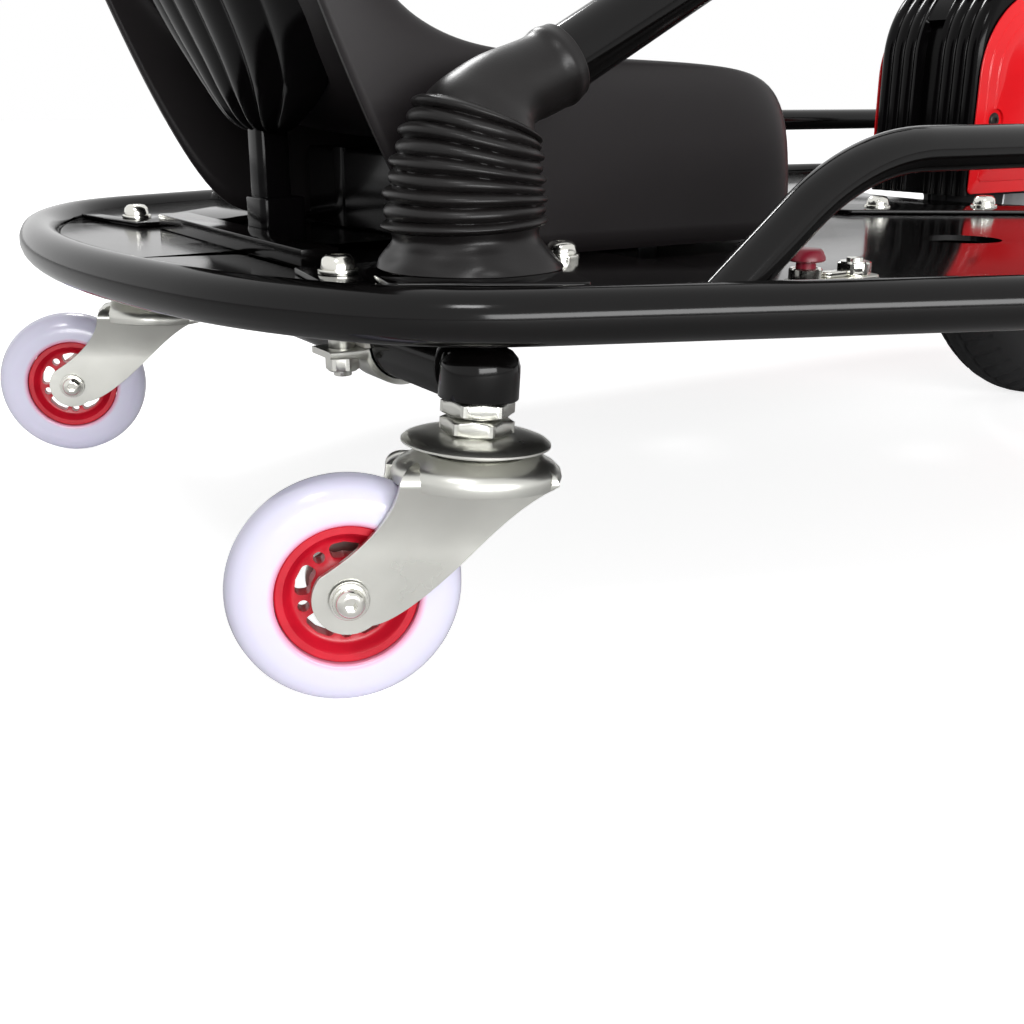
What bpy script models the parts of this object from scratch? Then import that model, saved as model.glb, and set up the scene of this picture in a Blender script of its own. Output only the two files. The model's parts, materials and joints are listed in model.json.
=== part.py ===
"""Electric drift kart, built from its separate pieces.

Frame: +X forward (towards the drive wheel), +Y to the rider's left, +Z up. The origin is on the
floor, under the middle of the frame. Every size below is in millimetres; the helpers turn them to
metres. Lengths along the kart are measured from the line through both caster stems, and one empty,
kart_origin, carries that line to its place.
"""

import math

import bmesh
import bpy
from mathutils import Matrix, Vector

MM = 0.001
GAP = 0.3

# Overall sizes
OVERALL_LENGTH = 1070.0
OVERALL_WIDTH = 720.2
STEM_SPACING = 460.0

# Frame tubes
TUBE_RADIUS = 11.1
TUBE_Z = 163.0
REAR_REACH = 106.0
REAR_BENDS = ((560.0, 14.5), (285.0, 18.0), (117.0, 35.9))
SIDE_BEND_RADIUS = 140.0
FRONT_BEND_RADIUS = 235.0
FRONT_BEND_ANGLE = 75.0
SPLICE_X = 430.0
UNDER_TUBE_Z = 150.5
INNER_RAIL_Y = 152.0
REAR_CROSS_MARGIN = 28.3
MID_CROSS_X = 478.0

# Deck
DECK_TOP = 165.0
DECK_THICKNESS = 3.0
SIDE_PLATE_THICKNESS = 2.7
SIDE_PLATE_INNER_Y = 124.0
SIDE_PLATE_REAR_X = -48.0
SIDE_PLATE_FRONT_X = 118.0
FLOOR_HOLE = (340.0, 184.0)
FLOOR_HOLE_RADIUS = 22.0
DECK_BOLT_RADIUS = 8.6
DECK_BOLT_HEIGHT = 8.0

# Side rails
RAIL_RADIUS = 9.5
RAIL_Z = 220.0
RAIL_Y = 286.0
RAIL_REAR_FOOT_X = 87.0
RAIL_REAR_ANGLE = 38.0
RAIL_REAR_BEND = 110.0
RAIL_FRONT_ANGLE = 60.0
RAIL_FRONT_BEND = 40.0

# Drift axle and its lever
AXLE_Z = 138.0
AXLE_RADIUS = 16.7
LUG_DROP = 1.7
STEM_RADIUS = 16.5
STEM_BOTTOM = 125.5
STEM_TOP = 147.0
BAR_SEAT_MARGIN = 17.7
BAR_RADIUS = 14.3
SLOT_MARGIN = 2.0
SLOT_REAR_MARGIN = 9.7
SLOT_FRONT_MARGIN = 19.7
BAR_ROOT_ANGLE = 72.0
BAR_ANGLE = 28.5
BAR_LINE_Z = 216.8
BAR_BEND = 60.0
BAR_END_X = 346.0
GRIP_LENGTH = 120.0
GRIP_WALL = 3.2
GRIP_RINGS = 4
STRAP_Y = 154.0
STRAP_WIDTH = 20.0
STRAP_BOLT_MARGIN = 9.3
STRAP_HOLE_RADIUS = 5.0
STRAP_WALL = 3.0
STRAP_SPLIT = 2.0

# Casters
CASTER_LEAN = 4.0
CASTER_SWING = 17.9
CASTER_TRAIL = 52.1
CASTER_WHEEL_RADIUS = 49.0
CASTER_WHEEL_WIDTH = 24.0
CASTER_CORE_RADIUS = 29.5
CASTER_AXLE_RADIUS = 4.0
FORK_GAP = 27.0
FORK_WALL = 3.0
FORK_BOSS_RADIUS = 15.0

# Drive unit
DRIVE_X = 695.0
DRIVE_WHEEL_RADIUS = 159.0
DRIVE_TYRE_WIDTH = 57.0
RIM_RADIUS = 101.0
MOTOR_SHAFT_RADIUS = 6.0
DRIVE_FORK_GAP = 65.0
DRIVE_FORK_WALL = 4.5
COVER_HALF_LENGTH = 184.0
COVER_HALF_WIDTH = 45.0
COVER_BOTTOM = 173.0
COVER_TOP = 330.3
COVER_TOP_BEND = 63.0
COVER_WALL = 3.0
COVER_TAPER = 2.0
COVER_CORNER = 7.0
COVER_RIB = 2.4
RIB_SECTION = ((0.0, 0.0), (0.42, COVER_RIB), (0.78, COVER_RIB * 0.6))
COVER_RECESS_HALF_WIDTH = 8.5
COVER_RECESS_DEPTH = 8.0
COVER_RECESS = (205.0, 292.0)
PANEL_THICKNESS = 3.2
PANEL_STEP = 8.5
PANEL_STEP_COUNT = 3
PANEL_SCREW_X = 162.0
PANEL_SCREW_Z = 225.0
DRIVE_OPENING_RADIUS = 175.0
DECK_OPENING_RADIUS = 188.0
RING_PLATE_RADIUS = 196.0

# Steering
HEAD_RADIUS = 22.0
STEERER_RADIUS = 12.5
BUSH_FLANGE = 1.8
NECK_Z = 352.0
NECK_Y = 38.0
NECK_RADIUS = 12.7
NECK_BEND = 60.0
JOINT_Z = 393.0
JOINT_PIN_RADIUS = 3.0
JOINT_BLOCK_RADIUS = 8.0
YOKE_EAR_OFFSET = 11.5
YOKE_REACH = 17.0
COLUMN_LEAN = 48.0
COLUMN_LENGTH = 166.0
COLUMN_RADIUS = 11.0
STEERING_RADIUS = 110.0
STEERING_RIM_RADIUS = 11.0
STEERING_RIM_RISE = 30.0
SPOKE_THICKNESS = 4.0
SPOKE_WIDTH = 22.0
PAD_RISE = 26.0

# Seat
SEAT_HALF_WIDTH = 150.0
SEAT_FOOT_HALF_WIDTH = 145.5
SEAT_WALL = 4.0
SEAT_SAG = 8.0
SEAT_FRONT_X = 264.0
SEAT_RIB = 2.4
SEAT_POST_TOP = 229.0

# Controls
SWITCH_BOX_X = 276.0
TREAD_COUNT = 5
TREAD_PITCH = 18.0

# Values that follow from the ones above
TUBE_REAR_X = -REAR_REACH - TUBE_RADIUS
STEM_X = TUBE_REAR_X * -1.0 - OVERALL_LENGTH / 2
LOOP_HALF_WIDTH = OVERALL_WIDTH / 2 - TUBE_RADIUS
NOSE_X = TUBE_REAR_X + OVERALL_LENGTH - TUBE_RADIUS
DECK_BOTTOM = DECK_TOP - DECK_THICKNESS
SIDE_PLATE_TOP = DECK_TOP + GAP + SIDE_PLATE_THICKNESS
SEAT_BOTTOM = SIDE_PLATE_TOP + GAP
CLAMP_TOP = SEAT_BOTTOM + SIDE_PLATE_THICKNESS
STEM_Y = STEM_SPACING / 2
STRAP_BOLT_X = AXLE_RADIUS + STRAP_BOLT_MARGIN
LUG_TOP = AXLE_Z + AXLE_RADIUS - LUG_DROP
REAR_CROSS_X = AXLE_RADIUS + REAR_CROSS_MARGIN
BAR_Y = SEAT_HALF_WIDTH + BAR_RADIUS + BAR_SEAT_MARGIN


def clear_scene():
    """Empty the scene of whatever it starts with."""
    for item in list(bpy.data.objects):
        bpy.data.objects.remove(item, do_unlink=True)


def new_collection(name):
    """Link a new collection to the scene."""
    group = bpy.data.collections.new(name)
    bpy.context.scene.collection.children.link(group)
    return group


clear_scene()
PARTS = new_collection("electric_drift_kart")
CUTTERS = new_collection("cutters")


def empty_at(name, place, parent=None):
    """An empty that carries pieces; its place is relative to its parent."""
    item = bpy.data.objects.new(name, None)
    PARTS.objects.link(item)
    item.parent = parent
    item.location = Vector(place) * MM
    return item


KART = empty_at("kart_origin", (STEM_X, 0.0, 0.0))


def linear(channel):
    """One sRGB channel, 0 to 255, as the linear value that a shader wants."""
    share = channel / 255
    return share / 12.92 if share <= 0.04045 else ((share + 0.055) / 1.055) ** 2.4


def new_material(name, colour, roughness, metallic=0.0):
    """A Principled material from an sRGB colour."""
    material = bpy.data.materials.new(name)
    material.use_nodes = True
    shader = material.node_tree.nodes["Principled BSDF"]
    shader.inputs["Base Color"].default_value = (*(linear(channel) for channel in colour), 1.0)
    shader.inputs["Roughness"].default_value = roughness
    shader.inputs["Metallic"].default_value = metallic
    return material


GLOSS_BLACK = new_material("gloss_black_paint", (22, 20, 22), 0.18)
SATIN_BLACK = new_material("satin_black_moulding", (58, 55, 57), 0.45)
BLACK_RUBBER = new_material("black_rubber", (34, 32, 33), 0.55)
BLACK_PLASTIC = new_material("black_plastic", (18, 18, 19), 0.3)
ZINC = new_material("zinc_plate", (205, 205, 200), 0.32, 1.0)
STEEL = new_material("bright_steel", (190, 190, 188), 0.28, 1.0)
CLEAR_TYRE = new_material("clear_urethane", (228, 226, 240), 0.25)
RED_CORE = new_material("red_nylon", (200, 26, 46), 0.35)
RED_PANEL = new_material("red_panel", (232, 30, 36), 0.2)
DARK_RED = new_material("dark_red_cap", (120, 20, 40), 0.4)
TYRE_RUBBER = new_material("tyre_rubber", (28, 28, 29), 0.75)
ALUMINIUM = new_material("cast_aluminium", (150, 150, 152), 0.4, 1.0)
NYLON = new_material("white_nylon", (215, 213, 205), 0.5)


def place_mesh(name, mesh, material, parent=None, collection=None):
    """Give a mesh an object in the parts, or in another collection."""
    item = bpy.data.objects.new(name, mesh)
    (collection or PARTS).objects.link(item)
    item.parent = parent or KART
    if material:
        mesh.materials.append(material)
    return item


def finish_mesh(bm, name):
    """Turn a bmesh in millimetres into a mesh in metres."""
    bmesh.ops.scale(bm, vec=(MM, MM, MM), verts=bm.verts)
    mesh = bpy.data.meshes.new(name)
    bm.to_mesh(mesh)
    bm.free()
    return mesh


def smooth(item, angle=35.0):
    """Shade smooth, with the edges past an angle kept sharp."""
    item.data.shade_smooth()
    item.data.set_sharp_from_angle(angle=math.radians(angle))
    return item


def box(name, low, high, material=None, parent=None, bevel=0.0):
    """A block between two corners."""
    size = Vector(high) - Vector(low)
    bm = bmesh.new()
    bmesh.ops.create_cube(bm, size=1.0)
    bmesh.ops.scale(bm, vec=size, verts=bm.verts)
    item = place_mesh(name, finish_mesh(bm, name), material, parent)
    item.location = (Vector(low) + Vector(high)) * MM / 2
    if bevel:
        add_bevel(item, bevel)
    return item


def rod(name, radius, start, end, material=None, parent=None, sides=16, tip_radius=None):
    """A cylinder, or a cone with tip_radius, from one point to another."""
    start, end = Vector(start), Vector(end)
    bm = bmesh.new()
    bmesh.ops.create_cone(
        bm,
        cap_ends=True,
        segments=sides,
        radius1=radius,
        radius2=radius if tip_radius is None else tip_radius,
        depth=(end - start).length,
    )
    item = place_mesh(name, finish_mesh(bm, name), material, parent)
    item.location = (start + end) * MM / 2
    item.rotation_mode = "QUATERNION"
    item.rotation_quaternion = (end - start).to_track_quat("Z", "Y")
    return smooth(item)


def turned(
    name, profile, material=None, parent=None, place=(0, 0, 0), axis=(0, 0, 1), sides=32, ring=False
):
    """A turned piece: (radius, height) points that run down its outer side, closed when ring is set."""
    bm = bmesh.new()
    points = [bm.verts.new((radius, 0.0, height)) for radius, height in profile]
    for first, second in zip(points, points[1:]):
        bm.edges.new((first, second))
    if ring:
        bm.edges.new((points[-1], points[0]))
    item = place_mesh(name, finish_mesh(bm, name), material, parent)
    item.location = Vector(place) * MM
    item.rotation_mode = "QUATERNION"
    item.rotation_quaternion = Vector(axis).to_track_quat("Z", "Y")
    screw = item.modifiers.new("turn", "SCREW")
    screw.steps = sides
    screw.render_steps = sides
    screw.use_merge_vertices = True
    screw.merge_threshold = 0.00001
    return item


def as_mesh(item, name, material, parent):
    """Swap a curve object for a welded mesh object at the same place."""
    bpy.context.view_layer.update()
    evaluated = item.evaluated_get(bpy.context.evaluated_depsgraph_get())
    mesh = bpy.data.meshes.new_from_object(evaluated)
    bm = bmesh.new()
    bm.from_mesh(mesh)
    bmesh.ops.remove_doubles(bm, verts=bm.verts, dist=0.000002)
    bm.to_mesh(mesh)
    bm.free()
    mesh.materials.clear()
    matrix = item.matrix_basis.copy()
    bpy.data.objects.remove(item, do_unlink=True)
    made = place_mesh(name, mesh, material, parent)
    made.matrix_basis = matrix
    return made


def tube(name, points, radius, material=None, parent=None, resolution=3, radii=None, closed=False):
    """A round tube or bar along points, with its own radius at each point when radii is given."""
    curve = bpy.data.curves.new(name, "CURVE")
    curve.dimensions = "3D"
    curve.bevel_depth = radius * MM
    curve.bevel_resolution = resolution
    curve.use_fill_caps = not closed
    spline = curve.splines.new("POLY")
    spline.points.add(len(points) - 1)
    for index, point in enumerate(points):
        spline.points[index].co = (*(Vector(point) * MM), 1.0)
        if radii:
            spline.points[index].radius = radii[index] / radius
    spline.use_cyclic_u = closed
    item = bpy.data.objects.new(name, curve)
    PARTS.objects.link(item)
    return smooth(as_mesh(item, name, material, parent), 50.0)


def plate(name, outline, low, high, material=None, parent=None, holes=()):
    """A flat plate with holes; its outline is in XY and it spans low to high in Z."""
    curve = bpy.data.curves.new(name, "CURVE")
    curve.dimensions = "2D"
    curve.fill_mode = "BOTH"
    curve.extrude = (high - low) * MM / 2
    for ring in (outline, *holes):
        spline = curve.splines.new("POLY")
        spline.points.add(len(ring) - 1)
        for index, (along, across) in enumerate(ring):
            spline.points[index].co = (along * MM, across * MM, 0.0, 1.0)
        spline.use_cyclic_u = True
    item = bpy.data.objects.new(name, curve)
    PARTS.objects.link(item)
    item.location.z = (low + high) * MM / 2
    return as_mesh(item, name, material, parent)


def upright(item, place=(0, 0, 0)):
    """Stand a plate up: its XY outline becomes XZ, and its thickness runs along Y."""
    height = item.location.z
    item.rotation_euler = (math.radians(90), 0.0, 0.0)
    item.location = Vector(place) * MM + Vector((0.0, -height, 0.0))
    return item


def add_bevel(item, width, segments=2, angle=40.0):
    """Round the sharp edges."""
    bevel = item.modifiers.new("edges", "BEVEL")
    bevel.width = width * MM
    bevel.segments = segments
    bevel.limit_method = "ANGLE"
    bevel.angle_limit = math.radians(angle)
    return item


def hide_tool(tool):
    """Move an object that only shapes others to the cutters."""
    for group in list(tool.users_collection):
        group.objects.unlink(tool)
    CUTTERS.objects.link(tool)
    tool.hide_render = True
    tool.display_type = "WIRE"


def shape(target, tool, operation):
    """Cut or join a piece with a tool that isn't a piece itself."""
    change = target.modifiers.new(operation.lower(), "BOOLEAN")
    change.operation = operation
    change.solver = "EXACT"
    change.object = tool
    hide_tool(tool)
    return target


def cut(target, *tools):
    """Take the tools' shapes out of a piece."""
    for tool in tools:
        shape(target, tool, "DIFFERENCE")
    return target


def join(target, *tools):
    """Weld the tools' shapes to a piece."""
    for tool in tools:
        shape(target, tool, "UNION")
    return target


def circle(centre, radius, sides=32, start=0.0, sweep=360.0):
    """Points round a circle, or along a part of one when sweep is less than a turn."""
    count = sides if sweep >= 360.0 else sides + 1
    turns = [math.radians(start + sweep * index / sides) for index in range(count)]
    return [(centre[0] + radius * math.cos(turn), centre[1] + radius * math.sin(turn)) for turn in turns]


def turned_towards(first, last, share):
    """A radius part of the way round an arc, from its first to its last."""
    return first.normalized().slerp(last.normalized(), share) * first.length


def rounded_outline(corners, radius, steps=4):
    """A closed outline with each corner as an arc of one radius."""
    outline = []
    for index, corner in enumerate(corners):
        here = Vector(corner)
        before = (Vector(corners[index - 1]) - here).normalized()
        after = (Vector(corners[(index + 1) % len(corners)]) - here).normalized()
        half = before.angle(after) / 2
        centre = here + (before + after).normalized() * radius / math.sin(half)
        first = here + before * radius / math.tan(half) - centre
        last = here + after * radius / math.tan(half) - centre
        for step in range(steps + 1):
            outline.append(tuple(centre + turned_towards(first, last, step / steps)))
    return outline


def bent_path(corners, radii, step=14.0):
    """Points along straight runs joined by arcs, one radius for each inner corner."""
    corners = [Vector(corner) for corner in corners]
    points = [corners[0]]
    for index, radius in enumerate(radii, start=1):
        here = corners[index]
        before = (corners[index - 1] - here).normalized()
        after = (corners[index + 1] - here).normalized()
        half = before.angle(after) / 2
        centre = here + (before + after).normalized() * radius / math.sin(half)
        first = here + before * radius / math.tan(half) - centre
        last = here + after * radius / math.tan(half) - centre
        count = max(2, round(math.degrees(math.pi - 2 * half) / step))
        points += [centre + turned_towards(first, last, part / count) for part in range(count + 1)]
    points.append(corners[-1])
    return points


def left_turns(start, heading, moves, step=12.0):
    """Points along a flat path of straight runs and left turns.

    Each move is (length, 0) for a run or (radius, degrees) for a turn.
    """
    place = Vector(start)
    points = [tuple(place)]
    for size, angle in moves:
        if not angle:
            place = place + size * Vector((math.cos(heading), math.sin(heading)))
            points.append(tuple(place))
            continue
        centre = place + size * Vector((-math.sin(heading), math.cos(heading)))
        count = max(2, round(angle / step))
        for part in range(1, count + 1):
            now = heading + math.radians(angle) * part / count
            points.append(tuple(centre + size * Vector((math.sin(now), -math.cos(now)))))
        heading += math.radians(angle)
        place = Vector(points[-1])
    return points


def half_loop(inset=0.0):
    """The right half of the perimeter tube's centre line, from the rear to the nose, moved inwards."""
    splay = math.radians(90.0 - sum(angle for _, angle in REAR_BENDS))
    rear = left_turns((-REAR_REACH, 0.0), math.radians(-90), REAR_BENDS)[-1]
    side_bend_out = SIDE_BEND_RADIUS * (1 - math.cos(splay))
    splay_run = (LOOP_HALF_WIDTH - side_bend_out + rear[1]) / math.sin(splay)
    corner = math.radians(FRONT_BEND_ANGLE)
    nose_radius = (LOOP_HALF_WIDTH - FRONT_BEND_RADIUS * (1 - math.cos(corner))) / math.cos(corner)
    side_start = rear[0] + splay_run * math.cos(splay) + SIDE_BEND_RADIUS * math.sin(splay)
    nose_depth = FRONT_BEND_RADIUS * math.sin(corner) + nose_radius * (1 - math.sin(corner))
    side_run = NOSE_X - nose_depth - side_start
    moves = [(radius - inset, angle) for radius, angle in REAR_BENDS]
    moves += [(splay_run, 0.0), (SIDE_BEND_RADIUS - inset, math.degrees(splay)), (side_run, 0.0)]
    moves += [(FRONT_BEND_RADIUS - inset, FRONT_BEND_ANGLE), (nose_radius - inset, 90.0 - FRONT_BEND_ANGLE)]
    return left_turns((-REAR_REACH + inset, 0.0), math.radians(-90), moves)


def point_at_x(path, along):
    """Where a path that only runs forward passes a place along the kart, or its nearer end."""
    if along <= path[0][0]:
        return path[0]
    if along >= path[-1][0]:
        return path[-1]
    for (x_one, y_one), (x_two, y_two) in zip(path, path[1:]):
        if x_one <= along <= x_two:
            return (along, y_one + (y_two - y_one) * (along - x_one) / (x_two - x_one))
    raise ValueError(f"the path doesn't reach {along}")


def path_between(path, start, end):
    """The part of a forward path between two places along the kart."""
    inner = [point for point in path if start < point[0] < end]
    return [point_at_x(path, start), *inner, point_at_x(path, end)]


def mirrored(points):
    """The same points on the kart's other side, in reverse order."""
    return [(point[0], -point[1], *point[2:]) for point in reversed(points)]


def at_height(points, height):
    """Flat points lifted to one height."""
    return [(along, across, height) for along, across in points]


def loop_clearance():
    """A cutter just larger than the perimeter tube, for what is welded against it."""
    half = half_loop()
    ring = half + mirrored(half)[1:-1]
    return tube("loop_clearance", at_height(ring, TUBE_Z), TUBE_RADIUS + GAP, closed=True)


def bolt_head(name, place, parent=None, radius=DECK_BOLT_RADIUS, height=DECK_BOLT_HEIGHT, sides=10):
    """A domed bolt head with a flange and a hexagon socket, its seat at the given place."""
    profile = (
        (0.0, height),
        (radius * 0.6, height * 0.86),
        (radius * 0.84, height * 0.25),
        (radius, height * 0.2),
        (radius, 0.0),
        (0.0, 0.0),
    )
    return turned(name, profile, ZINC, parent, place, sides=sides)


def deck_clearance():
    """A cutter as the floor plate without its openings, for what is welded to the tube beside it."""
    outline = half_loop(TUBE_RADIUS + GAP)
    return plate("deck_clearance", outline + mirrored(outline)[1:-1], DECK_BOTTOM, DECK_TOP)


def build_frame():
    """The perimeter tube in two bent lengths, and the straight tubes under the deck."""
    half = half_loop()
    rear = path_between(half, -REAR_REACH, SPLICE_X - GAP / 2)
    front = path_between(half, SPLICE_X + GAP / 2, NOSE_X)
    rear_ring = mirrored(rear)[:-1] + rear
    front_ring = front + mirrored(front)[1:]
    tube("frame_rear_loop", at_height(rear_ring, TUBE_Z), TUBE_RADIUS, GLOSS_BLACK)
    tube("frame_front_loop", at_height(front_ring, TUBE_Z), TUBE_RADIUS, GLOSS_BLACK)
    for name, along in (("rear_cross_tube", REAR_CROSS_X), ("mid_cross_tube", MID_CROSS_X)):
        reach = -point_at_x(half, along)[1]
        ends = ((along, -reach, UNDER_TUBE_Z), (along, reach, UNDER_TUBE_Z))
        cut(rod(name, TUBE_RADIUS, *ends, GLOSS_BLACK), loop_clearance())
    for side, name in ((1, "inner_rail_left"), (-1, "inner_rail_right")):
        across = side * INNER_RAIL_Y
        ends = ((REAR_CROSS_X, across, UNDER_TUBE_Z), (MID_CROSS_X, across, UNDER_TUBE_Z))
        rail = rod(name, TUBE_RADIUS, *ends, GLOSS_BLACK)
        for along in (REAR_CROSS_X, MID_CROSS_X):
            ends = ((along, across - 30, UNDER_TUBE_Z), (along, across + 30, UNDER_TUBE_Z))
            cut(rail, rod(name + "_cope", TUBE_RADIUS + GAP, *ends))


def bar_slot(low, high):
    """A cutter for the slot that the lever passes through and swings back in."""
    half = BAR_RADIUS + SLOT_MARGIN
    rear, front = -BAR_RADIUS - SLOT_REAR_MARGIN, BAR_RADIUS + SLOT_FRONT_MARGIN
    corners = ((rear, -BAR_Y - half), (front, -BAR_Y - half), (front, -BAR_Y + half), (rear, -BAR_Y + half))
    return plate("bar_slot", rounded_outline(corners, 10.0), low, high)


def build_deck():
    """The floor plate with its openings, and what is bolted flat on it."""
    outline = half_loop(TUBE_RADIUS + GAP)
    ring = outline + mirrored(outline)[1:-1]
    holes = [circle((DRIVE_X, 0.0), DECK_OPENING_RADIUS, 36)]
    holes += [circle((FLOOR_HOLE[0], side * FLOOR_HOLE[1]), FLOOR_HOLE_RADIUS, 14) for side in (1, -1)]
    deck = plate("deck_plate", ring, DECK_BOTTOM, DECK_TOP, GLOSS_BLACK, holes=holes)
    for side in (1, -1):
        notch = ((-29, 40), (-83, 26), (-140, 12), (-140, 210), (-64, 172), (-28, 130))
        corners = [(along, side * across) for along, across in notch]
        cut(deck, plate("rear_notch", corners[::side], DECK_BOTTOM - 5, DECK_TOP + 5))
        ends = ((-STRAP_BOLT_X, side * STRAP_Y, 150), (-STRAP_BOLT_X, side * STRAP_Y, 170))
        cut(deck, rod("bolt_hole", STRAP_HOLE_RADIUS, *ends, sides=12))
    cut(deck, bar_slot(DECK_BOTTOM - 5, DECK_TOP + 5))
    for side, name in ((1, "side_plate_left"), (-1, "side_plate_right")):
        edge = path_between(half_loop(TUBE_RADIUS + 1.5), SIDE_PLATE_REAR_X, SIDE_PLATE_FRONT_X)
        corners = [(SIDE_PLATE_FRONT_X, -SIDE_PLATE_INNER_Y), (SIDE_PLATE_REAR_X + 14, -SIDE_PLATE_INNER_Y)]
        outline = [(along, -side * across) for along, across in edge + corners]
        side_plate = plate(name, outline, DECK_TOP + GAP, SIDE_PLATE_TOP, GLOSS_BLACK)
        hole = ((-STRAP_BOLT_X, side * STRAP_Y, 160), (-STRAP_BOLT_X, side * STRAP_Y, 172))
        cut(side_plate, rod("bolt_hole", STRAP_HOLE_RADIUS, *hole, sides=12))
        if side == -1:
            cut(side_plate, bar_slot(DECK_TOP - 5, SIDE_PLATE_TOP + 5))
        join(side_plate, bolt_head("front_bolt", (88.0, side * (STRAP_Y + 3), SIDE_PLATE_TOP - 0.5)))
    build_ring_plate()


def build_ring_plate():
    """The plate that laps the deck's wheel hole: a ring that runs out to a blunt point behind."""
    point = Vector((402.0 - DRIVE_X, 40.0))
    reach = point.length
    turn = math.atan2(point.y, point.x) - math.acos(RING_PLATE_RADIUS / reach)
    start = math.degrees(turn)
    arc = circle((DRIVE_X, 0.0), RING_PLATE_RADIUS, 22, -start, 2 * start)
    outline = [(402.0, 40.0), (402.0, -40.0), *arc]
    hole = circle((DRIVE_X, 0.0), DRIVE_OPENING_RADIUS, 36)
    ring_plate = plate("drive_ring_plate", outline, DECK_TOP + GAP, SIDE_PLATE_TOP, GLOSS_BLACK, holes=[hole])
    for along, across in ((432.0, 38.0), (432.0, -38.0), (498.0, 74.0), (498.0, -74.0)):
        join(ring_plate, bolt_head("ring_bolt", (along, across, SIDE_PLATE_TOP - 0.5)))


def build_side_rails():
    """A low bent rail over each side of the frame."""
    half = half_loop()
    front_x = max(x for x, y in half if -y >= RAIL_Y)
    path = [point for point in half if point[0] >= front_x - 1.0]
    (x_one, y_one), (x_two, y_two) = path[0], path[1]
    foot_x = x_one + (x_two - x_one) * (-RAIL_Y - y_one) / (y_two - y_one)
    rear_rise = RAIL_Z - DECK_TOP
    rear_start = RAIL_REAR_FOOT_X - 12.0
    rear_corner = rear_start + rear_rise / math.tan(math.radians(RAIL_REAR_ANGLE))
    front_corner = foot_x - (RAIL_Z - TUBE_Z) / math.tan(math.radians(RAIL_FRONT_ANGLE))
    for side, name in ((1, "side_rail_left"), (-1, "side_rail_right")):
        across = side * RAIL_Y
        corners = (
            (rear_start, across, DECK_TOP),
            (rear_corner, across, RAIL_Z),
            (front_corner, across, RAIL_Z),
            (foot_x - 2.0, across, TUBE_Z + 3.5),
        )
        path = bent_path(corners, (RAIL_REAR_BEND, RAIL_FRONT_BEND))
        rail = tube(name, path, RAIL_RADIUS, GLOSS_BLACK)
        floor = box(name + "_floor", (30, across - 30, 140), (150, across + 30, SIDE_PLATE_TOP + GAP))
        cut(rail, loop_clearance(), floor, deck_clearance())


def seat_rows():
    """The seat's surface as rows of half sections, each from its free edge in to the bucket.

    Each row is a place round the free edge: front middle, round the front corner, back along the
    side, and up the rear edge to the top middle.
    """
    low, half, front = SEAT_BOTTOM, SEAT_HALF_WIDTH, SEAT_FRONT_X
    foot, lip = SEAT_FOOT_HALF_WIDTH, SEAT_HALF_WIDTH - 3.0
    inside, bucket = SEAT_HALF_WIDTH - 18.0, SEAT_HALF_WIDTH - 41.0
    wing = SEAT_HALF_WIDTH - 24.0
    return (
        (
            (front, 0, low),
            (front - 1, 0, 238),
            (front - 14, 0, 252),
            (front - 32, 0, 247),
            (front - 56, 0, 234),
        ),
        (
            (front, 112, low),
            (front - 1, 112, 240),
            (front - 13, 109, 254),
            (front - 33, 104, 250),
            (front - 58, 98, 237),
        ),
        (
            (front - 6, foot - 5, low),
            (front - 8, half - 6, 242),
            (front - 20, lip - 7, 256),
            (front - 44, inside - 8, 251),
            (front - 76, bucket - 3, 235),
        ),
        (
            (front - 46, foot, low),
            (front - 48, half, 244),
            (front - 52, lip - 1, 258),
            (front - 64, inside + 1, 251),
            (front - 102, bucket, 232),
        ),
        ((160, foot, low), (160, half + 1, 247), (160, lip, 261), (158, inside, 253), (128, bucket, 230)),
        ((110, foot, low), (110, half + 1, 248), (112, lip, 262), (112, inside, 253), (94, bucket + 1, 229)),
        ((62, foot, low), (70, half + 1, 250), (77, lip, 264), (78, inside - 1, 254), (62, bucket - 1, 230)),
        ((27, foot, low), (44, half + 1, 250), (53, lip, 266), (54, inside - 2, 257), (34, bucket - 3, 236)),
        ((-8, half, 232), (13, half + 1, 255), (29, lip, 272), (29, inside - 3, 265), (10, bucket - 5, 252)),
        ((-35, half, 297), (-14, half + 1, 292), (2, lip, 286), (0, inside - 4, 284), (-12, bucket - 6, 286)),
        (
            (-68, half, 385),
            (-52, half + 1, 366),
            (-36, lip - 1, 346),
            (-37, wing, 347),
            (-44, bucket - 7, 352),
        ),
        (
            (-98, lip, 470),
            (-84, half - 1, 457),
            (-68, lip - 5, 440),
            (-68, wing - 4, 440),
            (-74, bucket - 10, 440),
        ),
        ((-112, 118, 516), (-104, 118, 521), (-91, 114, 510), (-90, 100, 500), (-88, 88, 485)),
        ((-117, 0, 535), (-110, 0, 541), (-98, 0, 530), (-95, 0, 518), (-89, 0, 494)),
    )


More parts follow.
